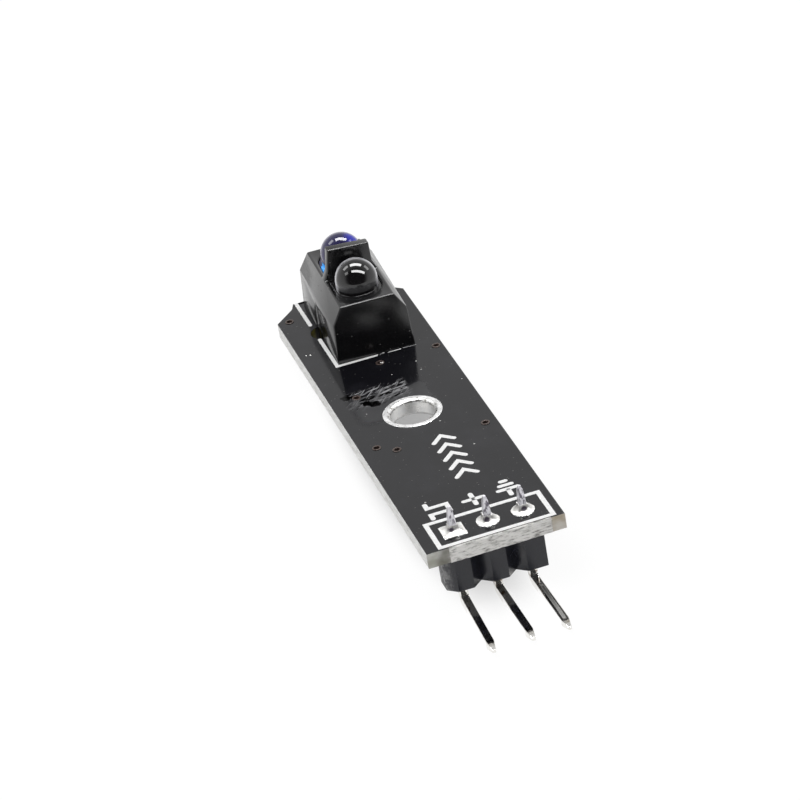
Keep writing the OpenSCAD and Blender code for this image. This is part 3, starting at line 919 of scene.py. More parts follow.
@dataclass(frozen=True)
class ResinFinish(Finish):
    """A tinted clear resin with painted light: a paler rim painted where the view only grazes it, a painted
    glow of light that it gathers on one side, a lighter band painted low on the dome, and a small painted
    glint that glows.
    """

    # A paler rim painted where the view grazes the resin: a painted sheen.
    rim_span: Span = (0.45, 1.0)
    painted_rim_colour: Colour = (0.4, 0.36, 0.8)
    # A painted glow: light gathered in the resin, painted round one place.
    painted_glow_place: Point = (0.0, 0.0, 0.0)
    painted_glow_reach: Span = (0.01, 0.0)
    painted_glow_colour: Colour = BLACK
    # A small painted glint, which also glows though it is no lamp.
    painted_glint_place: Point = (0.0, 0.0, 0.0)
    painted_glint_size: float = 0.01
    painted_glint_colour: Colour = BLACK
    painted_glint_strength: float = 0.5
    # A lighter band painted low on the dome: a painted sheen, rougher there.
    painted_sheen_share: float = 0.0
    low_z: Span = (6.6, 6.1)
    foot_z: Span = (5.68, 5.85)
    painted_sheen_colour: Colour = (0.03, 0.03, 0.032)
    low_roughness: float = 0.3

    def marks(self, shading: Shading, clouds: Socket, plain: Socket, rough: Socket) -> dict[str, Value]:
        """Returns the inputs that the painted glow, the painted band low on the dome, the painted rim and the
        painted glint change.
        """
        grazing = shading.add("ShaderNodeLayerWeight", {"Blend": 0.5}).outputs["Facing"]
        # Painted sheen: the colour turns paler as the view grazes the surface.
        rim = shading.step(grazing, *self.rim_span)
        # Painted light gathered on one side of the dome.
        painted_glow = shading.step(shading.away(self.painted_glow_place), *self.painted_glow_reach)
        height = shading.axis("Z")
        # Painted sheen in a band low on the dome.
        band = shading.times(shading.step(height, *self.low_z), shading.step(height, *self.foot_z))
        low = shading.times(band, self.painted_sheen_share)
        # Painted glint, which the emission below makes glow.
        painted_glint = shading.step(shading.away(self.painted_glint_place), self.painted_glint_size, self.painted_glint_size / 2)
        return {
            "Base Color": shading.covered(
                plain, (painted_glow, self.painted_glow_colour), (low, self.painted_sheen_colour), (rim, self.painted_rim_colour),
                (painted_glint, self.painted_glint_colour),
            ),
            "Emission Color": shading.blend(painted_glint, BLACK, self.painted_glint_colour),
            "Emission Strength": self.painted_glint_strength,
            "Roughness": shading.most(rough, shading.times(low, self.low_roughness)),
        }


MASK = MaskFinish(
    "mask_black", (0.006, 0.006, 0.008), (0.012, 0.012, 0.0155), cloud_size=2.5, roughness=0.08,
    rougher=0.05, grain_size=0.35, grain_depth=0.0012, ior=1.45,
)
LAMINATE = EdgeFinish(
    "laminate_edge", (0.72, 0.72, 0.71), (0.5, 0.49, 0.46), cloud_size=0.5, roughness=0.5, rougher=0.2,
    grain_size=0.08, grain_depth=0.02, stretch=(0.4, 0.4, 3.0),
)
BARE = EdgeFinish(
    "laminate_bare", (0.004, 0.004, 0.003), (0.008, 0.007, 0.004), cloud_size=0.7, roughness=0.45,
    grain_depth=0.01, end_y=(30.0, 29.0), end_colour=(0.006, 0.0055, 0.003), left_x=(-2.6, -2.85),
    left_colour=(0.26, 0.23, 0.03), corner_colour=(0.26, 0.23, 0.03),
)
SNAPPED = Finish(
    "laminate_snapped", (0.72, 0.71, 0.69), (0.13, 0.125, 0.115), cloud_size=0.22, roughness=0.75,
    rougher=0.2, grain_size=0.08, grain_depth=0.03, stretch=(0.35, 1.0, 1.6), cloud_span=(0.44, 0.74),
)
INK = Finish(
    "print_white", (0.86, 0.86, 0.86), (0.74, 0.74, 0.73), cloud_size=0.3, roughness=0.45, rougher=0.2,
    grain_size=0.05,
)
STRANDS = Finish(
    "print_strands", (0.34, 0.34, 0.35), (0.08, 0.08, 0.08), cloud_size=0.22, roughness=0.45, rougher=0.2,
    grain_size=0.05,
)
HOLE_TIN = HoleFinish(
    "tin_mount", (0.8, 0.8, 0.8), (0.62, 0.62, 0.62), cloud_size=0.6, roughness=0.24, rougher=0.14,
    grain_size=0.25, grain_depth=0.006, metallic=1.0,
)
TIN = Finish(
    "tin", (0.88, 0.88, 0.88), (0.66, 0.66, 0.67), cloud_size=0.5, roughness=0.22, rougher=0.15,
    grain_size=0.15, grain_depth=0.006, metallic=1.0,
)
COPPER = Finish(
    "via_rings", (0.075, 0.05, 0.042), (0.03, 0.022, 0.02), cloud_size=0.2, roughness=0.3, metallic=0.3,
)
SOLDER = SolderFinish(
    "solder_bright", (0.64, 0.635, 0.62), (0.36, 0.35, 0.33), cloud_size=0.33, roughness=0.28,
    rougher=0.2, grain_size=0.16, grain_depth=0.05, metallic=1.0,
)
HEADER_PLASTIC = BaseFinish(
    "header_moulded", (0.004, 0.0045, 0.0095), (0.006, 0.0065, 0.013), cloud_size=0.6, roughness=0.18,
    grain_size=0.06, grain_depth=0.002,
)
PIN_METAL = PinFinish(
    "pin_plated", (0.84, 0.83, 0.80), (0.5, 0.46, 0.4), cloud_size=0.3, cloud_span=(0.55, 0.8),
    roughness=0.05, rougher=0.07, grain_size=0.2, grain_depth=0.002, metallic=1.0,
)
LEAD_METAL = Finish(
    "lead_tinned", (0.8, 0.8, 0.8), (0.5, 0.5, 0.5), cloud_size=0.3, roughness=0.25, metallic=1.0,
)
HOUSING_PLASTIC = MouldedFinish(
    "housing_glossy", (0.0045, 0.0045, 0.005), (0.007, 0.007, 0.0075), cloud_size=1.2, roughness=0.16,
    rougher=0.05, grain_size=0.3, grain_depth=0.0012, ior=1.6,
)
DETECTOR_RESIN = ResinFinish(
    "detector_tinted", (0.004, 0.0035, 0.004), (0.007, 0.006, 0.007), roughness=0.03, rougher=0.03,
    grain_size=0.6, grain_depth=0.0008, ior=1.57, rim_span=(0.5, 0.88), painted_rim_colour=(0.72, 0.72, 0.76),
    painted_sheen_share=1.0,
)
EMITTER_RESIN = ResinFinish(
    "emitter_tinted", (0.022, 0.018, 0.10), (0.05, 0.045, 0.17), cloud_size=0.9, roughness=0.03,
    rougher=0.02, grain_size=0.6, grain_depth=0.0008, ior=1.55, transmission=0.3, rim_span=(0.55, 0.95),
    painted_rim_colour=(0.55, 0.53, 0.62), painted_glow_place=(1.6, 16.05, 7.35), painted_glow_reach=(1.15, 0.3),
    painted_glow_colour=(0.004, 0.012, 0.75), painted_glint_place=(-1.05, 16.25, 5.5), painted_glint_size=0.6,
    painted_glint_colour=(0.08, 0.42, 1.0),
)
CHIP_PLASTIC = Finish(
    "chip_moulded", (0.02, 0.02, 0.02), (0.035, 0.035, 0.035), cloud_size=0.5, roughness=0.55,
    rougher=0.2, grain_size=0.08, grain_depth=0.006,
)
RESISTOR_CERAMIC = Finish(
    "resistor_glaze", (0.02, 0.02, 0.022), (0.03, 0.03, 0.03), cloud_size=0.4, roughness=0.3,
    grain_depth=0.003,
)
CAPACITOR_CERAMIC = Finish(
    "capacitor_tan", (0.36, 0.24, 0.13), (0.30, 0.19, 0.10), cloud_size=0.3, roughness=0.45,
)
LAMP_RESIN = Finish(
    "lamp_clouded", (0.82, 0.82, 0.74), (0.75, 0.74, 0.6), cloud_size=0.4, roughness=0.1,
    grain_depth=0.002, transmission=0.3,
)


# The board and what is on it


@dataclass
class CircuitBoard:
    """The laminate under its mask, with its drilled holes, and the strips where it was snapped off."""

    corner_cut: float = 2.0
    edge_round: float = 0.05
    snap_from: float = -3.4
    snap_to: float = 4.0
    snap_out: float = 0.15
    tab_out: float = 0.45
    tab_lean: float = 0.3
    snap_deep: float = 0.3
    fibre: float = 0.12
    fibre_columns: int = 150
    fibre_rows: int = 26
    fibre_scale: Point = (2.2, 5.0, 3.1)
    fibre_fractal: tuple[float, float, int] = (0.9, 2.2, 4)
    hook_hole_d: float = 2.0
    hook_hole_reach: float = 1.15
    wide_hole: float = 2.0
    wide_points: int = 48
    narrow_points: int = 20
    wall_slant: float = 0.3

    def __post_init__(self) -> None:
        """Reads the board's box."""
        low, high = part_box("circuit_board")
        self.low, self.high = low / MM, high / MM
        self.y_header = self.low.y + self.snap_out
        self.y_sensor = self.high.y - self.tab_out

    def outline(self) -> Loop:
        """Returns the board's outline, without the torn fibres of its snapped strips."""
        side, cut, far, lean = self.high.x, self.corner_cut, self.y_sensor, self.tab_lean
        torn, slope = self.high.y - self.fibre, far - cut + side
        return [
            (-side, self.y_header), (side, self.y_header), (side, far - cut),
            (self.snap_to, slope - self.snap_to), (self.snap_to - lean, torn),
            (self.snap_from + lean, torn), (self.snap_from, slope + self.snap_from), (-side, far - cut),
        ]

    def build(self, holes: Sequence[Point], hook_holes: Sequence[Vector]) -> None:
        """Builds the board.

        Args:
            holes: Place and width of each drilled hole.
            hook_holes: Middles of the holes that the hooks pass through.
        """
        loops = [self.outline()]
        for x, y, d in holes:
            loops.append(circle(x, y, d / 2, self.wide_points if d > self.wide_hole else self.narrow_points))
        loops += [circle(place.x, place.y, self.hook_hole_d / 2) for place in hook_holes]
        mesh = flat_mesh(loops, self.low.z, self.high.z, self.edge_round)
        for face in mesh.polygons:
            if abs(face.normal.z) < self.wall_slant:
                near = min((face.center.xy - place.xy).length for place in hook_holes)
                face.material_index = 2 if near < self.hook_hole_reach else 1
        add_piece("board", shaded(mesh, crease=50), (MASK, LAMINATE, BARE), "circuit_board")
        strips = [self.strip(self.snap_from, self.snap_to, self.low.y, -1),
                  self.strip(self.snap_from + self.tab_lean, self.snap_to - self.tab_lean, self.high.y, 1)]
        add_piece("snapped_edges", joined(strips), (SNAPPED,), "circuit_board")

    def strip(self, start: float, end: float, tip: float, way: int) -> Mesh:
        """Makes a rough strip of torn fibres.

        Args:
            start: Where it begins across the board.
            end: Where it ends.
            tip: How far its longest fibres reach along the board.
            way: -1 at the header end and 1 at the sensor end.

        Returns:
            The closed strip, which reaches into the board.
        """
        across, up = self.fibre_columns, self.fibre_rows
        scale_x, scale_z, scale_way = self.fibre_scale
        shape = bmesh.new()
        width, height = end - start, self.high.z - self.low.z
        rows = []
        for j in range(up + 1):
            row = []
            for i in range(across + 1):
                x, z = start + width * i / across, self.low.z + height * j / up
                place = (scale_x * x, scale_z * z, scale_way * way)
                torn = 0.5 + 0.5 * noise.fractal(place, *self.fibre_fractal)
                edge = min(i, across - i, j, up - j) == 0
                deep = self.snap_out if edge else self.fibre * min(1, max(0, torn))
                row.append(shape.verts.new((x, tip - way * deep, z)))
            rows.append(row)
        for low, high in zip(rows, rows[1:]):
            for a, b, c, d in zip(low, low[1:], high[1:], high):
                shape.faces.new((a, b, c, d))
        rim = [edge for edge in shape.edges if edge.is_boundary]
        moved = bmesh.ops.extrude_edge_only(shape, edges=rim)["geom"]
        back = [item for item in moved if isinstance(item, bmesh.types.BMVert)]
        bmesh.ops.translate(shape, vec=(0, -way * self.snap_deep, 0), verts=back)
        bmesh.ops.contextual_create(shape, geom=[e for e in shape.edges if e.is_boundary])
        bmesh.ops.recalc_face_normals(shape, faces=shape.faces)
        return shaded(meshed(shape), crease=60)


class Symbol(Enum):
    """A mark printed beside a pin."""

    PULSE = "pulse"
    PLUS = "plus"
    EARTH = "earth"


@dataclass
class Print:
    """The white print on the board: two frames, a mark beside each pin and chevrons to the sensor."""

    ink_t: float = 0.02
    ink_round: float = 0.008
    line_w: float = 0.35
    frame_x: Span = (-3.92, 4.27)
    frame_y: Span = (-18.36, -15.08)
    outline_w: float = 0.29
    sensor_x: float = -2.87
    sensor_y: Span = (9.22, 20.12)
    hook_gap: Span = (13.95, 16.1)
    nick: float = 0.1
    worn_from: float = 0.2
    foot_from: Span = (-2.25, 9.36)
    foot_to: Span = (3.2, 9.17)
    crumb: Point = (0.7, 9.28, 0.09)
    scrap: tuple[Span, ...] = ((1.0, 9.115), (2.03, 9.075), (2.08, 9.1808), (1.1, 9.195))
    strands: tuple[tuple[Span, ...], ...] = (
        ((0.35, 9.095), (0.5, 9.145), (0.4, 9.195), (0.4, 9.155)),
        ((0.45, 9.2016), (0.75, 9.1467), (0.7, 9.2267), (0.5, 9.2616)),
        ((2.18, 9.135), (3.23, 9.075), (3.23, 9.135), (2.18, 9.215)),
    )
    symbol_w: float = 1.4
    symbol_y: float = -13.6
    pulse_h: Span = (0.45, 1.0)
    earth_parts: tuple[float, ...] = (1.0, 0.62, 0.25)
    earth_step: float = 0.55
    earth_stem: float = 0.8
    chevron_x: float = 0.72
    chevron_y: tuple[float, ...] = (-10.3, -9.0, -7.7, -6.4, -5.1)
    chevron_w: float = 1.5
    chevron_rise: float = 0.8

    def printed(self, loops: Sequence[Loop], board_top: float) -> Mesh:
        """Returns a film of ink on the board, with its outlines given."""
        return flat_mesh(loops, board_top, board_top + self.ink_t, self.ink_round, 1)

    def symbol(self, kind: Symbol, x: float) -> list[Loop]:
        """Draws one pin's mark.

        Args:
            kind: Which mark.
            x: The pin's place across the board.

        Returns:
            The mark's outlines.
        """
        half, y, line = self.symbol_w / 2, self.symbol_y, self.line_w
        if kind is Symbol.PULSE:
            low, tall = self.pulse_h
            points = [(-half, -tall), (-half, -low), (half, -low), (half, low), (-half, low), (-half, tall)]
            return [ribbon([(x + a, y + b) for a, b in points], line)]
        if kind is Symbol.PLUS:
            arms = [ribbon([(x, y + way * line / 2), (x, y + way * half)], line) for way in (1, -1)]
            return [ribbon([(x - half, y), (x + half, y)], line), *arms]
        stem = ribbon([(x, y - self.earth_stem), (x, y - line / 2)], line)
        heights = [y + self.earth_step * n for n in range(len(self.earth_parts))]
        bars = [ribbon([(x - part * half, height), (x + part * half, height)], line)
                for part, height in zip(self.earth_parts, heights)]
        return [*bars, stem]

    def beside_foot(self, x: float) -> float:
        """Returns how far the outline's near line reaches before the sensor's foot covers it."""
        (from_x, from_y), (to_x, to_y) = self.foot_from, self.foot_to
        return from_y + (to_y - from_y) * max(0, (x - from_x) / (to_x - from_x))

    def sensor_outline(self, board_top: float) -> list[Mesh]:
        """Makes what shows of the sensor's outline, and the rubbed strands of its near line."""
        half, nick, middle = self.outline_w / 2, self.nick, self.sensor_x
        west, east = middle - half, middle + half
        (near, far), (gap_from, gap_to) = self.sensor_y, self.hook_gap
        low = near - half
        lines = [
            [(west, low), (self.worn_from, low), (self.worn_from + nick, self.beside_foot(self.worn_from)),
             self.foot_from, (east, near + half), (east, gap_from - nick), (middle, gap_from),
             (west, gap_from - nick)],
            [(west, gap_to + nick), (middle, gap_to), (east, gap_to + nick), (east, far), (west, far)],
            self.scrap, circle(*self.crumb, count=12),
        ]
        groups = (lines, self.strands)
        return [joined([self.printed([loop], board_top) for loop in loops]) for loops in groups]

    def build(self, board_top: float, pins: Sequence[Vector]) -> None:
        """Builds the print.

        Args:
            board_top: Height of the board's upper face.
            pins: The pins' places.
        """
        (west, east), (south, north) = self.frame_x, self.frame_y
        ring = [box_loop(west - out, east + out, south - out, north + out)
                for out in (self.line_w / 2, -self.line_w / 2)]
        loops = [loop for kind, pin in zip(Symbol, pins) for loop in self.symbol(kind, pin.x)]
        half, middle = self.chevron_w / 2, self.chevron_x
        for y in self.chevron_y:
            points = [(middle - half, y), (middle, y + self.chevron_rise), (middle + half, y)]
            loops.append(ribbon(points, self.line_w))
        marks = [self.printed([loop], board_top) for loop in loops]
        full, worn = self.sensor_outline(board_top)
        add_piece("sensor_outline_print", full, (INK,))
        add_piece("sensor_outline_worn", worn, (STRANDS,))
        add_piece("header_frame_print", self.printed(ring, board_top), (INK,))
        add_piece("pin_and_direction_print", joined(marks), (INK,))


@dataclass
class Plating:
    """The copper and tin in and round the drilled holes."""

    copper_t: float = 0.05
    ring_rounding: float = 0.45
    mount_bore: float = 3.2
    mount_ring: float = 4.34
    mount_seat: float = 4.0
    mount_shoulder: float = 0.26
    shoulder_steps: int = 8
    via_bore: float = 0.42
    via_ring: float = 0.65
    via_places: tuple[Span, ...] = (
        (4.1, -4.3), (-3.8, -3.45), (-2.6, -4.45), (4.45, 8.15), (0.05, 8.0), (-3.0, 4.05), (-4.1, 17.65),
    )

    def drilled(self, places: Iterable[Sequence[float]], bore: float) -> list[Point]:
        """Returns the place of each plated bore, with the width of the hole drilled for it."""
        return [(place[0], place[1], bore + 2 * self.copper_t) for place in places]

    def holes(self) -> list[Point]:
        """Returns the place and width of the mounting hole and of each via's drilled hole."""
        return [(0, 0, self.mount_seat), *self.drilled(self.via_places, self.via_bore)]

    def recipe(self) -> Recipe:
        """Makes the tree that puts a plated hole at each point."""
        names = ("Bore", "Ring", "Copper", "Board")
        tree = Recipe("plated_holes", names)
        bore, ring, copper, board = (tree.given[name] for name in names)
        wall = tree.times(tree.less(ring, bore), 0.5)
        section = tree.section(wall, copper, tree.times(copper, self.ring_rounding))
        flat_ring = tree.ring(tree.times(tree.math("ADD", ring, bore), 0.25), section)
        whole = tree.add("GeometryNodeJoinGeometry")
        for side in (0.0, 1.0):
            height = tree.math("ADD", tree.times(board, side), tree.times(copper, side - 0.5))
            tree.feed(whole.inputs[0], tree.raised(flat_ring, height))
        barrel = tree.ring(tree.times(tree.math("ADD", bore, copper), 0.5), tree.section(copper, board))
        tree.feed(whole.inputs[0], tree.raised(barrel, tree.times(board, 0.5)))
        inputs = {"Points": tree.given["Geometry"], "Instance": whole.outputs[0]}
        tree.close(tree.out("GeometryNodeInstanceOnPoints", inputs))
        return tree

    def plated(
        self, places: Sequence[Sequence[float]], finish: Finish, bore: float, ring: float, board: float
    ) -> Mesh:
        """Makes a plated hole at each place.

        Args:
            places: The holes' middles.
            finish: Their metal.
            bore: Width of the bore.
            ring: Width of the rings.
            board: Thickness of the board.

        Returns:
            One mesh with all of them.
        """
        points = bpy.data.meshes.new("points")
        points.from_pydata([(place[0], place[1], 0) for place in places], [], [])
        sizes = {"Bore": bore, "Ring": ring, "Copper": self.copper_t, "Board": board}
        mesh = self.recipe().run(points, finish.material(), sizes)
        return shaded(with_bmesh(mesh, welded), crease=50)

    def collar(self, board: float) -> Mesh:
        """Makes the mounting hole's tin, which runs over a rounded shoulder from its rings into the bore."""
        bore, ring, seat = self.mount_bore / 2, self.mount_ring / 2, self.mount_seat / 2
        top, low, soft = board + self.copper_t, -self.copper_t, self.copper_t / 2
        shoulder = self.mount_shoulder
        angles = [math.pi / 2 / self.shoulder_steps * n for n in range(self.shoulder_steps + 1)]
        over = [(bore + shoulder * (1 - math.sin(angle)), top - shoulder * (1 - math.cos(angle)))
                for angle in angles]
        under = [(r, low + top - z) for r, z in reversed(over)]
        outside = [(ring - soft, low), (ring, low + soft), (ring, 0), (seat, 0), (seat, board), (ring, board),
                   (ring, top - soft), (ring - soft, top)]
        return shaded(revolved(over + under + outside), crease=40)

    def build(self, board: float) -> None:
        """Builds the mounting hole's tin and the vias.

        Args:
            board: Thickness of the board.
        """
        collar = self.collar(board)
        add_piece("mounting_hole_tin", collar, (HOLE_TIN,), "mounting_hole_rings")
        vias = self.plated(self.via_places, COPPER, self.via_bore, self.via_ring, board)
        add_piece("via_barrels", vias, (), "vias")


# The header


@dataclass
class Solder:
    """Solder that climbs a wire from its pad."""

    wire_w: float
    pad_d: float
    height: float
    rings: int = 10
    steps: int = 48
    corner_reach: float = 0.66
    inset: float = 0.02
    foot_h: float = 0.05
    wobble: float = 0.05
    wobble_turns: float = 1.5
    unevenness: float = 0.25
    seed_steps: Span = (9.7, 4.1)

    def cone(self, place: Vector, foot: float, up: float, square: bool, seed: int) -> Mesh:
        """Makes the cone of one joint.

        Args:
            place: The wire's place.
            foot: Height of the pad's face.
            up: 1 if the solder climbs upward and -1 if it hangs.
            square: Whether the pad is square.
            seed: Which of many uneven shapes.

        Returns:
            The closed cone.
        """
        shape = bmesh.new()
        rim_seed, rise_seed = self.seed_steps[0] * seed, self.seed_steps[1] * seed + 2
        rows = []
        for ring in range(-1, self.rings + 1):
            climb = math.pi / 2 * max(0, ring) / self.rings
            foot_h = self.foot_h if ring >= 0 else 0
            row = []
            for x, y in round_ways(self.steps):
                corner = max(abs(x), abs(y))
                rim = self.pad_d / 2
                if square:
                    rim = min(rim / corner, self.pad_d * self.corner_reach)
                rim += self.wobble * noise.noise((self.wobble_turns * x, self.wobble_turns * y, rim_seed))
                rim -= self.inset
                neck = self.wire_w / 2 / corner + self.inset
                reach = neck + (rim - neck) * (1 - math.sin(climb))
                rise = self.height * (1 - math.cos(climb)) + foot_h
                rise *= 1 + self.unevenness * noise.noise((x, y, rise_seed))
                row.append(shape.verts.new((place.x + x * reach, place.y + y * reach, foot + up * rise)))
            rows.append(row)
        walled(shape, rows)
        shape.faces.new(rows[0])
        shape.faces.new(rows[-1])
        bmesh.ops.recalc_face_normals(shape, faces=shape.faces)
        return shaded(meshed(shape), crease=60)


@dataclass
class StrayBeads:
    """Small beads of solder that splashed onto the board's upper face."""

    beads: tuple[Point, ...] = (
        (-4.46, 12.06, 0.055), (-4.16, 11.95, 0.075), (0.19, 7.88, 0.11), (0.1, 8.02, 0.06),
    )
    flatness: float = 0.6
    sunk: float = 0.1
    steps: tuple[int, int] = (20, 12)

    def build(self, face: float) -> None:
        """Builds the beads on a face at the given height."""
        shape = bmesh.new()
        for x, y, radius in self.beads:
            for vertex in ball(shape, radius, self.steps):
                rise = self.flatness * max(vertex.co.z, -self.sunk * radius)
                vertex.co = (x + vertex.co.x, y + vertex.co.y, face + rise)
        add_piece("stray_solder_beads", shaded(meshed(shape), crease=60), (SOLDER,))


@dataclass
class Header:
    """The three-pin header: its base, its pins, and their pads and solder."""

    pitch: float = 2.54
    middle_x: float = 0.06
    row_y: float = -16.8
    pin_w: float = 0.6
    edge_round: float = 0.07
    base_d: float = 2.5
    base_top: float = -0.05
    base_foot: float = -2.9
    base_front_w: float = 1.15
    base_groove: float = 0.66
    base_end_cut: float = 0.39
    base_round: float = 0.07
    tail_top: float = 3.2
    top_taper: float = 0.3
    taper_from: float = 1.55
    leg_z: float = -4.29
    bend_mid: float = 0.5
    twist: float = 0.4
    reach: float = 7.25
    tip_taper: float = 0.9
    tip_part: float = 0.4
    tail_parts: Span = (0.32, 0.62)
    bend_steps: int = 8
    splays: Point = (-2.2, 0.3, 0.8)
    hole_d: float = 1.0
    pad_w: float = 1.66
    pad_round: float = 0.02
    solder_h: float = 0.5

    def places(self) -> list[Vector]:
        """Returns the place of each pin, from the square pad on."""
        return [Vector((self.middle_x + n * self.pitch, self.row_y)) for n in (-1, 0, 1)]

    def base_outline(self) -> Loop:
        """Returns the outline of the moulded base, with a breaking groove between its segments."""
        half, groove = self.base_d / 2, self.base_d / 2 - self.base_groove
        near: Loop = []
        for place in self.places():
            near += [(place.x - self.pitch / 2, groove), (place.x - self.base_front_w / 2, half),
                     (place.x + self.base_front_w / 2, half)]
        near.append((self.places()[-1].x + self.pitch / 2 - self.base_end_cut, half))
        loop = near + [(x, -y) for x, y in reversed(near)]
        return [(x, self.row_y + y) for x, y in loop]

    def pin_path(self, splay: float) -> list[tuple[Vector, float]]:
        """Returns the points of one pin's middle line from its upper end, with the pin's thickness there."""
        tail = [(self.tail_top, self.tail_parts[0]), (self.tail_top - self.top_taper, self.tail_parts[1]),
                (self.taper_from, 1.0), (self.base_foot - self.twist, 1.0)]
        path = [(Vector((0, 0, z)), part) for z, part in tail]
        turn = Matrix.Rotation(math.radians(splay), 3, "Z")
        for step in range(self.bend_steps + 1):
            angle = math.pi / 2 * step / self.bend_steps
            along = self.bend_mid * (1 - math.cos(angle))
            drop = self.bend_mid * (1 - math.sin(angle))
            path.append((turn @ Vector((0, -along, self.leg_z + drop)), 1.0))
        path.append((turn @ Vector((0, self.tip_taper - self.reach, self.leg_z)), 1.0))
        path.append((turn @ Vector((0, -self.reach, self.leg_z)), self.tip_part))
        return path

    def pin_recipe(self) -> Recipe:
        """Makes the tree that draws a square wire along a path."""
        tree = Recipe("square_wire", ("Width", "Edge"))
        path = tree.out("GeometryNodeMeshToCurve", {"Mesh": tree.given["Geometry"]})
        part = tree.out("GeometryNodeInputNamedAttribute", {"Name": "part"}, data_type="FLOAT")
        sized = tree.out("GeometryNodeSetCurveRadius", {"Curve": path, "Radius": part})
        section = tree.section(tree.given["Width"], tree.given["Width"], tree.given["Edge"])
        inputs = {"Curve": sized, "Profile Curve": section, "Fill Caps": True, "Scale": part}
        tree.close(tree.out("GeometryNodeCurveToMesh", inputs))
        return tree

    def pin(self, place: Vector, splay: float) -> Mesh:
        """Makes one pin.

        Args:
            place: The pin's place.
            splay: How far its leg is turned sideways, in degrees.

        Returns:
            The pin's mesh.
        """
        path = self.pin_path(splay)
        line = bpy.data.meshes.new("line")
        line.from_pydata([point for point, _ in path], [(n, n + 1) for n in range(len(path) - 1)], [])
        line.attributes.new("part", "FLOAT", "POINT").data.foreach_set("value", [part for _, part in path])
        sizes = {"Width": self.pin_w, "Edge": self.edge_round}
        mesh = self.pin_recipe().run(line, PIN_METAL.material(), sizes)
        mesh.transform(Matrix.Translation((place.x, place.y, 0)))
        return shaded(with_bmesh(mesh, welded), crease=25)

    def build(self, board: float, plating: Plating) -> None:
        """Builds the header.

        Args:
            board: Thickness of the board.
            plating: Makes the pads.
        """
        plate = flat_mesh([self.base_outline()], self.base_foot, self.base_top, self.base_round)
        base = shaded(plate, crease=35)
        add_piece("header_moulding", base, (HEADER_PLASTIC,), "header_base")
        names = ("output_pin", "supply_pin", "ground_pin")
        for name, place, splay in zip(names, self.places(), self.splays):
            add_piece(name + "_wire", self.pin(place, splay), (), name)
        round_pads = plating.plated(self.places()[1:], TIN, self.hole_d, self.pad_w, board)
        half, (x, y) = self.pad_w / 2, self.places()[0]
        loops = [box_loop(x - half, x + half, y - half, y + half), circle(x, y, self.hole_d / 2, count=32)]
        square_pads = [flat_mesh(loops, low, low + plating.copper_t, self.pad_round)
                       for low in (-plating.copper_t, board)]
        add_piece("header_pad_rings", joined([round_pads, *square_pads]), (), "header_pads")
        solder = Solder(self.pin_w, self.pad_w, self.solder_h)
        foot = board + plating.copper_t - SOLDER_SINK
        cones = [solder.cone(place, foot, 1, n == 0, n + 1) for n, place in enumerate(self.places())]
        add_piece("header_solder_cones", joined(cones), (SOLDER,), "header_solder")


# The sensor


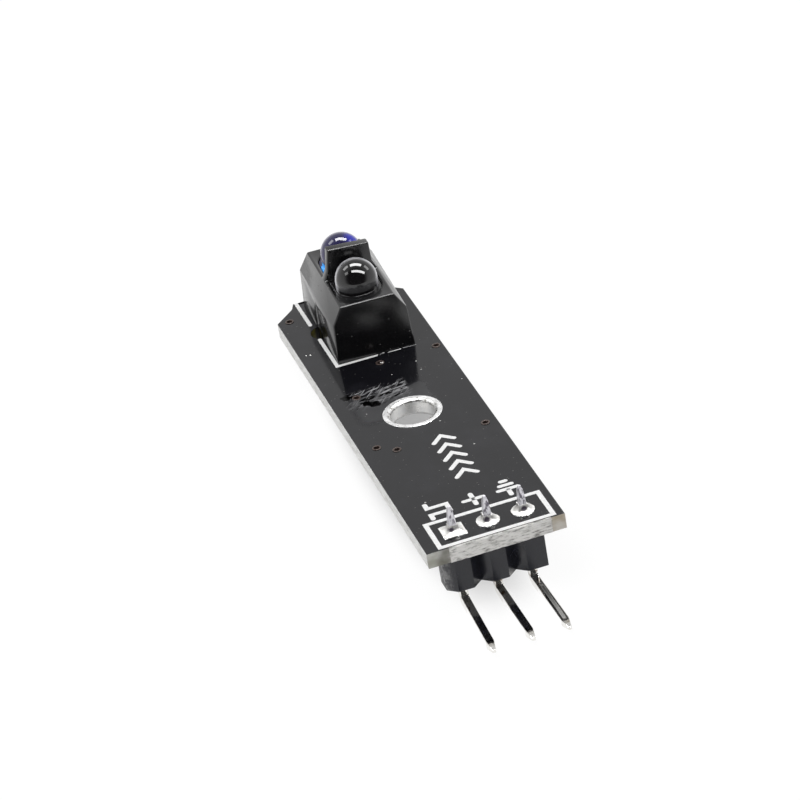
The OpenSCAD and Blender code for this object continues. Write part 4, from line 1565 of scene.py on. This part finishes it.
@dataclass
class Sensor:
    """The reflective sensor: its housing, two lenses, and their leads and solder."""

    x: float = 0.4
    y: float = 14.38
    turn: float = -1.9
    width: float = 5.95
    housing_round: float = 0.1
    dome_d: float = 3.15
    dome_y: float = 2.1
    dome_z: float = 4.95
    dome_steps: tuple[int, int] = (96, 64)
    emitter_shift: float = 0.02
    emitter_rise: float = 0.15
    flat_h: float = 4.45
    lens_sink: float = 0.12
    lens_round: float = 0.03
    cut_above: float = 0.02
    partition_w: float = 3.0
    partition_drop: float = 0.2
    partition_spread: float = 0.22
    skew_from: float = 0.8
    skew_over: float = 1.5
    hook_y: float = 0.3
    hook_hole_in: float = 0.35
    lead_pitch: float = 2.54
    lead_hole_d: float = 0.8
    lead_pad_d: float = 1.18
    lead_w: float = 0.5
    lead_round: float = 0.05
    lead_solder_h: float = 0.8
    lead_solder_seed: int = 5

    def frame(self, board: float) -> Matrix:
        """Returns the sensor's own frame, which stands on the board."""
        turn = Matrix.Rotation(math.radians(self.turn), 4, "Z")
        return Matrix.Translation((self.x, self.y, board)) @ turn

    def hook_holes(self) -> list[Vector]:
        """Returns the middles of the hooks' holes."""
        out = self.width / 2 - self.hook_hole_in
        return [self.frame(0) @ Vector((side * out, self.hook_y, 0)) for side in (-1, 1)]

    def leads(self) -> list[Vector]:
        """Returns the places of the four leads."""
        ways = [(x, y) for x in (-1, 1) for y in (-1, 1)]
        return [self.frame(0) @ Vector((x * self.lead_pitch / 2, y * self.dome_y, 0)) for x, y in ways]

    def dome(self, side: int, shift: float, rise: float) -> Mesh:
        """Makes a lens's dome on a stem that reaches into its block.

        Args:
            side: -1 for the detector and 1 for the emitter.
            shift: How far the dome is off its block's middle.
            rise: How far it stands above its nominal height.

        Returns:
            The closed dome in the sensor's frame, in millimetres.
        """
        shape = bmesh.new()
        radius, stem = self.dome_d / 2, self.dome_z + rise - self.flat_h + 2 * self.lens_sink
        for vertex in ball(shape, radius, self.dome_steps):
            if vertex.co.z < -TINY:
                way = vertex.co.xy.normalized() if vertex.co.xy.length > TINY else Vector((0, 0))
                vertex.co = (*(way * radius), stem * vertex.co.z / radius)
        bmesh.ops.translate(shape, vec=(shift, side * self.dome_y, self.dome_z + rise), verts=shape.verts)
        return meshed(shape)

    def lens(self, node: str, side: int, shift: float, rise: float, board: float) -> Mesh:
        """Makes a lens as one body: the CAD node's block with a finer dome.

        Args:
            node: The CAD node.
            side: -1 for the detector and 1 for the emitter.
            shift: How far the dome is off its block's middle.
            rise: How far the dome stands above its nominal height.
            board: Thickness of the board.

        Returns:
            The lens in millimetres.
        """
        top = self.flat_h - self.lens_sink + board

        def cut(shape: Shape) -> None:
            """Cuts the dome off just above its block."""
            parts = [*shape.verts, *shape.edges, *shape.faces]
            level = {"plane_co": (0, 0, top + self.cut_above), "plane_no": (0, 0, 1), "clear_outer": True}
            bmesh.ops.bisect_plane(shape, geom=parts, **level)
            bmesh.ops.holes_fill(shape, edges=[edge for edge in shape.edges if edge.is_boundary])
            bmesh.ops.recalc_face_normals(shape, faces=shape.faces)

        block = with_bmesh(softened(node, self.lens_round, 2, 40), cut)
        dome = self.dome(side, shift, rise)
        dome.transform(self.frame(board))
        holder = bpy.data.objects.new("dome_holder", dome)
        bpy.context.scene.collection.objects.link(holder)
        mesh = modified(block, "BOOLEAN", operation="UNION", solver="EXACT", object=holder)
        bpy.data.objects.remove(holder)
        mesh.materials.clear()
        return shaded(mesh, crease=30)

    def housing(self, board: float) -> Mesh:
        """Makes the housing, whose partition's top came out of the mould a little askew.

        Args:
            board: Thickness of the board.

        Returns:
            The housing in millimetres.
        """
        back = self.frame(board).inverted()

        def skew(shape: Shape) -> None:
            """Lowers and spreads the partition's top toward one end."""
            for vertex in shape.verts:
                x, _, z = back @ vertex.co
                above = min(1, max(0, (z - self.flat_h - self.skew_from) / self.skew_over))
                toward = min(1, max(0, x / self.partition_w + 0.5))
                vertex.co += above * toward * Vector((self.partition_spread, 0, -self.partition_drop))

        return with_bmesh(softened("sensor_housing", self.housing_round), skew)

    def build(self, board: float, plating: Plating) -> None:
        """Builds the sensor.

        Args:
            board: Thickness of the board.
            plating: Makes the pads.
        """
        housing = self.housing(board)
        add_piece("housing_moulding", housing, (HOUSING_PLASTIC,), "sensor_housing")
        emitter = self.lens("emitter", 1, self.emitter_shift, self.emitter_rise, board)
        add_piece("emitter_lens", emitter, (EMITTER_RESIN,), "emitter")
        detector = self.lens("detector", -1, 0, 0, board)
        add_piece("detector_lens", detector, (DETECTOR_RESIN,), "detector")
        for node in ("emitter_leads", "detector_leads"):
            add_piece(node + "_wires", softened(node, self.lead_round), (LEAD_METAL,), node)
        pads = plating.plated(self.leads(), TIN, self.lead_hole_d, self.lead_pad_d, board)
        add_piece("sensor_pad_rings", pads, (), "sensor_pads")
        solder = Solder(self.lead_w, self.lead_pad_d, self.lead_solder_h)
        foot = SOLDER_SINK - plating.copper_t
        numbered = enumerate(self.leads(), self.lead_solder_seed)
        cones = [solder.cone(place, foot, -1, False, seed) for seed, place in numbered]
        add_piece("sensor_solder_cones", joined(cones), (SOLDER,), "sensor_solder")


# The underside


@dataclass
class Underside:
    """The logic chip and the small parts under the board."""

    rounding: float = 0.05
    fine: float = 0.02

    def build(self) -> None:
        """Builds the parts under the board."""
        parts = (
            ("logic_chip", "chip_moulding", "chip_plastic", CHIP_PLASTIC, self.rounding),
            ("logic_chip_legs", "chip_leg_strips", "lead_metal", LEAD_METAL, self.fine),
            ("emitter_resistor", "emitter_resistor_body", "resistor_ceramic", RESISTOR_CERAMIC, self.fine),
            ("detector_resistor", "detector_resistor_body", "resistor_ceramic", RESISTOR_CERAMIC, self.fine),
            ("lamp_resistor", "lamp_resistor_body", "resistor_ceramic", RESISTOR_CERAMIC, self.fine),
            ("supply_capacitor", "supply_capacitor_body", "capacitor_ceramic", CAPACITOR_CERAMIC, self.fine),
            ("signal_lamp", "signal_lamp_body", "lamp_resin", LAMP_RESIN, self.rounding),
            ("small_part_ends", "small_part_caps", "tinned_copper", TIN, self.fine),
            ("surface_lands", "surface_land_copper", "tinned_copper", TIN, self.fine),
            ("surface_solder", "surface_solder_fillets", "solder", SOLDER, self.fine),
        )
        for node, name, slot, finish, rounding in parts:
            add_piece(name, softened(node, rounding), (finish,), node)


# The studio


@dataclass(frozen=True)
class Lamp:
    """A soft lamp that faces the module from one direction, with its size in millimetres."""

    name: str
    way: Point
    size: Span
    power: float
    gloss_only: bool = True

    def build(self, distance: float, level: Vector) -> None:
        """Adds the lamp, which either lights the module or only shows in a gloss.

        Args:
            distance: How far away it stands in millimetres.
            level: The direction that its width follows.
        """
        light = bpy.data.lights.new(self.name, "AREA")
        light.shape = "RECTANGLE"
        light.size, light.size_y = self.size[0] * MM, self.size[1] * MM
        light.energy = self.power
        lamp = bpy.data.objects.new(self.name, light)
        back = Vector(self.way).normalized()
        lamp.location = back * distance * MM
        across = (level - back * back.dot(level)).normalized()
        lamp.rotation_euler = Matrix((across, back.cross(across), back)).transposed().to_euler()
        lamp.visible_camera = False
        lamp.visible_diffuse = not self.gloss_only
        lamp.visible_glossy = self.gloss_only
        bpy.context.scene.collection.objects.link(lamp)


@dataclass
class Studio:
    """A white surround, a pale floor, soft light and the camera at the photograph's view."""

    rest_tilt: float = 4.9
    rest_y: float = -17.25
    rest_z: float = -4.6
    floor_size: float = 3000.0
    # A shadow painted on the floor: an ellipse under the board where less of the white glow shows.
    painted_shadow_x: float = 5.0
    painted_shadow_y: float = 20.0
    painted_shadow_span: Span = (0.5, 1.1)
    painted_shadow_white: Span = (0.3, 0.9)
    paper: Colour = (0.9, 0.9, 0.9)
    paper_glow: float = 1.04
    light_world: float = 0.6
    dark_room: Span = (0.3, 0.75)
    dark_room_glow: Span = (1.0, 0.06)
    ceiling_glow: Span = (1.0, 0.55)
    lamp_distance: float = 300.0
    lamps: tuple[Lamp, ...] = (
        Lamp("key_light", (-0.4, -0.1, 1.0), (200, 200), 0.42, gloss_only=False),
        Lamp("rear_strip", (0.194, 0.34, 0.92), (242, 90), 1.1),
        Lamp("front_strip", (0.198, -0.388, 0.9), (397, 70), 1.45),
        Lamp("left_window", (-0.467, 0.505, 0.725), (110, 80), 0.13),
        Lamp("low_left_window", (-0.707, 0.022, 0.707), (90, 70), 0.06),
        Lamp("right_window", (0.822, 0.124, 0.554), (110, 80), 0.1),
    )
    lens: float = 190.0
    sensor_width: float = 36.0
    clip: Span = (0.01, 10.0)
    camera_place: Point = (-58.141, -254.639, 152.579)
    camera_right: Point = (0.94209, -0.30032, -0.14926)
    camera_up: Point = (0.27597, 0.44133, 0.85386)
    camera_back: Point = (-0.19055, -0.84560, 0.49865)

    def rest_frame(self) -> Matrix:
        """Returns the frame of the surface that the module rests on."""
        turn = Matrix.Rotation(math.radians(self.rest_tilt), 4, "X")
        return Matrix.Translation((0, self.rest_y * MM, self.rest_z * MM)) @ turn

    def seen(self, wiring: Wiring) -> Socket:
        """Returns 1 for a ray that shows the surround to the camera, a gloss or a clear piece."""
        path = wiring.add("ShaderNodeLightPath").outputs
        return wiring.most(path["Is Camera Ray"], path["Is Glossy Ray"], path["Is Transmission Ray"])

    def build_world(self) -> None:
        """Makes the surround: white to the camera, and a room that is dark behind the camera to a gloss."""
        world = bpy.data.worlds.new("surround")
        world.use_nodes = True
        world.node_tree.nodes.clear()
        wiring = Wiring(world.node_tree)
        way = wiring.add("ShaderNodeTexCoord").outputs["Generated"]
        inputs = {0: way, 1: self.camera_back}
        toward = wiring.add("ShaderNodeVectorMath", inputs, operation="DOT_PRODUCT").outputs["Value"]
        up = wiring.add("ShaderNodeSeparateXYZ", {0: way}).outputs["Z"]
        room = wiring.step(toward, *self.dark_room, *self.dark_room_glow)
        gloss = wiring.times(room, wiring.step(up, 0.0, 1.0, *self.ceiling_glow))
        path = wiring.add("ShaderNodeLightPath").outputs
        mirrored = wiring.most(path["Is Glossy Ray"], path["Is Transmission Ray"])
        strength = wiring.out("ShaderNodeMix", {0: mirrored, 2: self.light_world, 3: gloss})
        strength = wiring.out("ShaderNodeMix", {0: path["Is Camera Ray"], 2: strength, 3: 1.0})
        sky = wiring.out("ShaderNodeBackground", {"Color": (1, 1, 1, 1), "Strength": strength})
        wiring.add("ShaderNodeOutputWorld", {"Surface": sky})
        bpy.context.scene.world = world

    def build_floor(self) -> None:
        """Makes the floor that the pins' bends and the sensor's leads stand on, with a shadow painted under
        the board.
        """
        half = self.floor_size / 2
        mesh = bpy.data.meshes.new("floor")
        corners = [(-half, -half, 0), (half, -half, 0), (half, half, 0), (-half, half, 0)]
        mesh.from_pydata([Vector(corner) * MM for corner in corners], [], [(0, 1, 2, 3)])
        mesh.transform(self.rest_frame())
        floor = bpy.data.objects.new("floor", mesh)
        shading = Shading("floor_paper")
        paper = shading.out("ShaderNodeBsdfDiffuse", {"Color": (*self.paper, 1)})
        white = shading.out("ShaderNodeEmission", {"Color": (1, 1, 1, 1), "Strength": self.paper_glow})
        # Painted shadow: less of the white glow shows under the board.
        reach = shading.length(shading.stretched(shading.place, (1 / self.painted_shadow_x, 1 / self.painted_shadow_y, 0)))
        share = shading.times(self.seen(shading), shading.step(reach, *self.painted_shadow_span, *self.painted_shadow_white))
        mix = shading.out("ShaderNodeMixShader", {0: share, 1: paper, 2: white})
        shading.add("ShaderNodeOutputMaterial", {"Surface": mix})
        mesh.materials.append(shading.material)
        bpy.context.scene.collection.objects.link(floor)

    def build_camera(self) -> None:
        """Sets the camera where the photograph was taken from."""
        data = bpy.data.cameras.new("camera")
        data.lens, data.sensor_width = self.lens, self.sensor_width
        data.clip_start, data.clip_end = self.clip
        camera = bpy.data.objects.new("camera", data)
        columns = (self.camera_right, self.camera_up, self.camera_back)
        turn = Matrix(columns).transposed().to_4x4()
        camera.matrix_world = Matrix.Translation(Vector(self.camera_place) * MM) @ turn
        bpy.context.scene.collection.objects.link(camera)
        bpy.context.scene.camera = camera

    def build(self) -> None:
        """Builds the studio."""
        self.build_world()
        self.build_floor()
        for lamp in self.lamps:
            lamp.build(self.lamp_distance, Vector(self.camera_right))
        self.build_camera()
        bpy.context.scene.view_settings.view_transform = "Standard"


def main() -> None:
    """Builds the module's pieces round the frame, and the studio."""
    logging.basicConfig(level=logging.INFO, format="%(name)s %(message)s")
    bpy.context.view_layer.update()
    board, plating, header, sensor = CircuitBoard(), Plating(), Header(), Sensor()
    top = board.high.z
    holes = plating.holes() + plating.drilled(header.places(), header.hole_d)
    holes += plating.drilled(sensor.leads(), sensor.lead_hole_d)
    board.build(holes, sensor.hook_holes())
    plating.build(top)
    Print().build(top, header.places())
    StrayBeads().build(top)
    header.build(top, plating)
    sensor.build(top, plating)
    Underside().build()
    Studio().build()


if __name__ == "__main__":
    main()
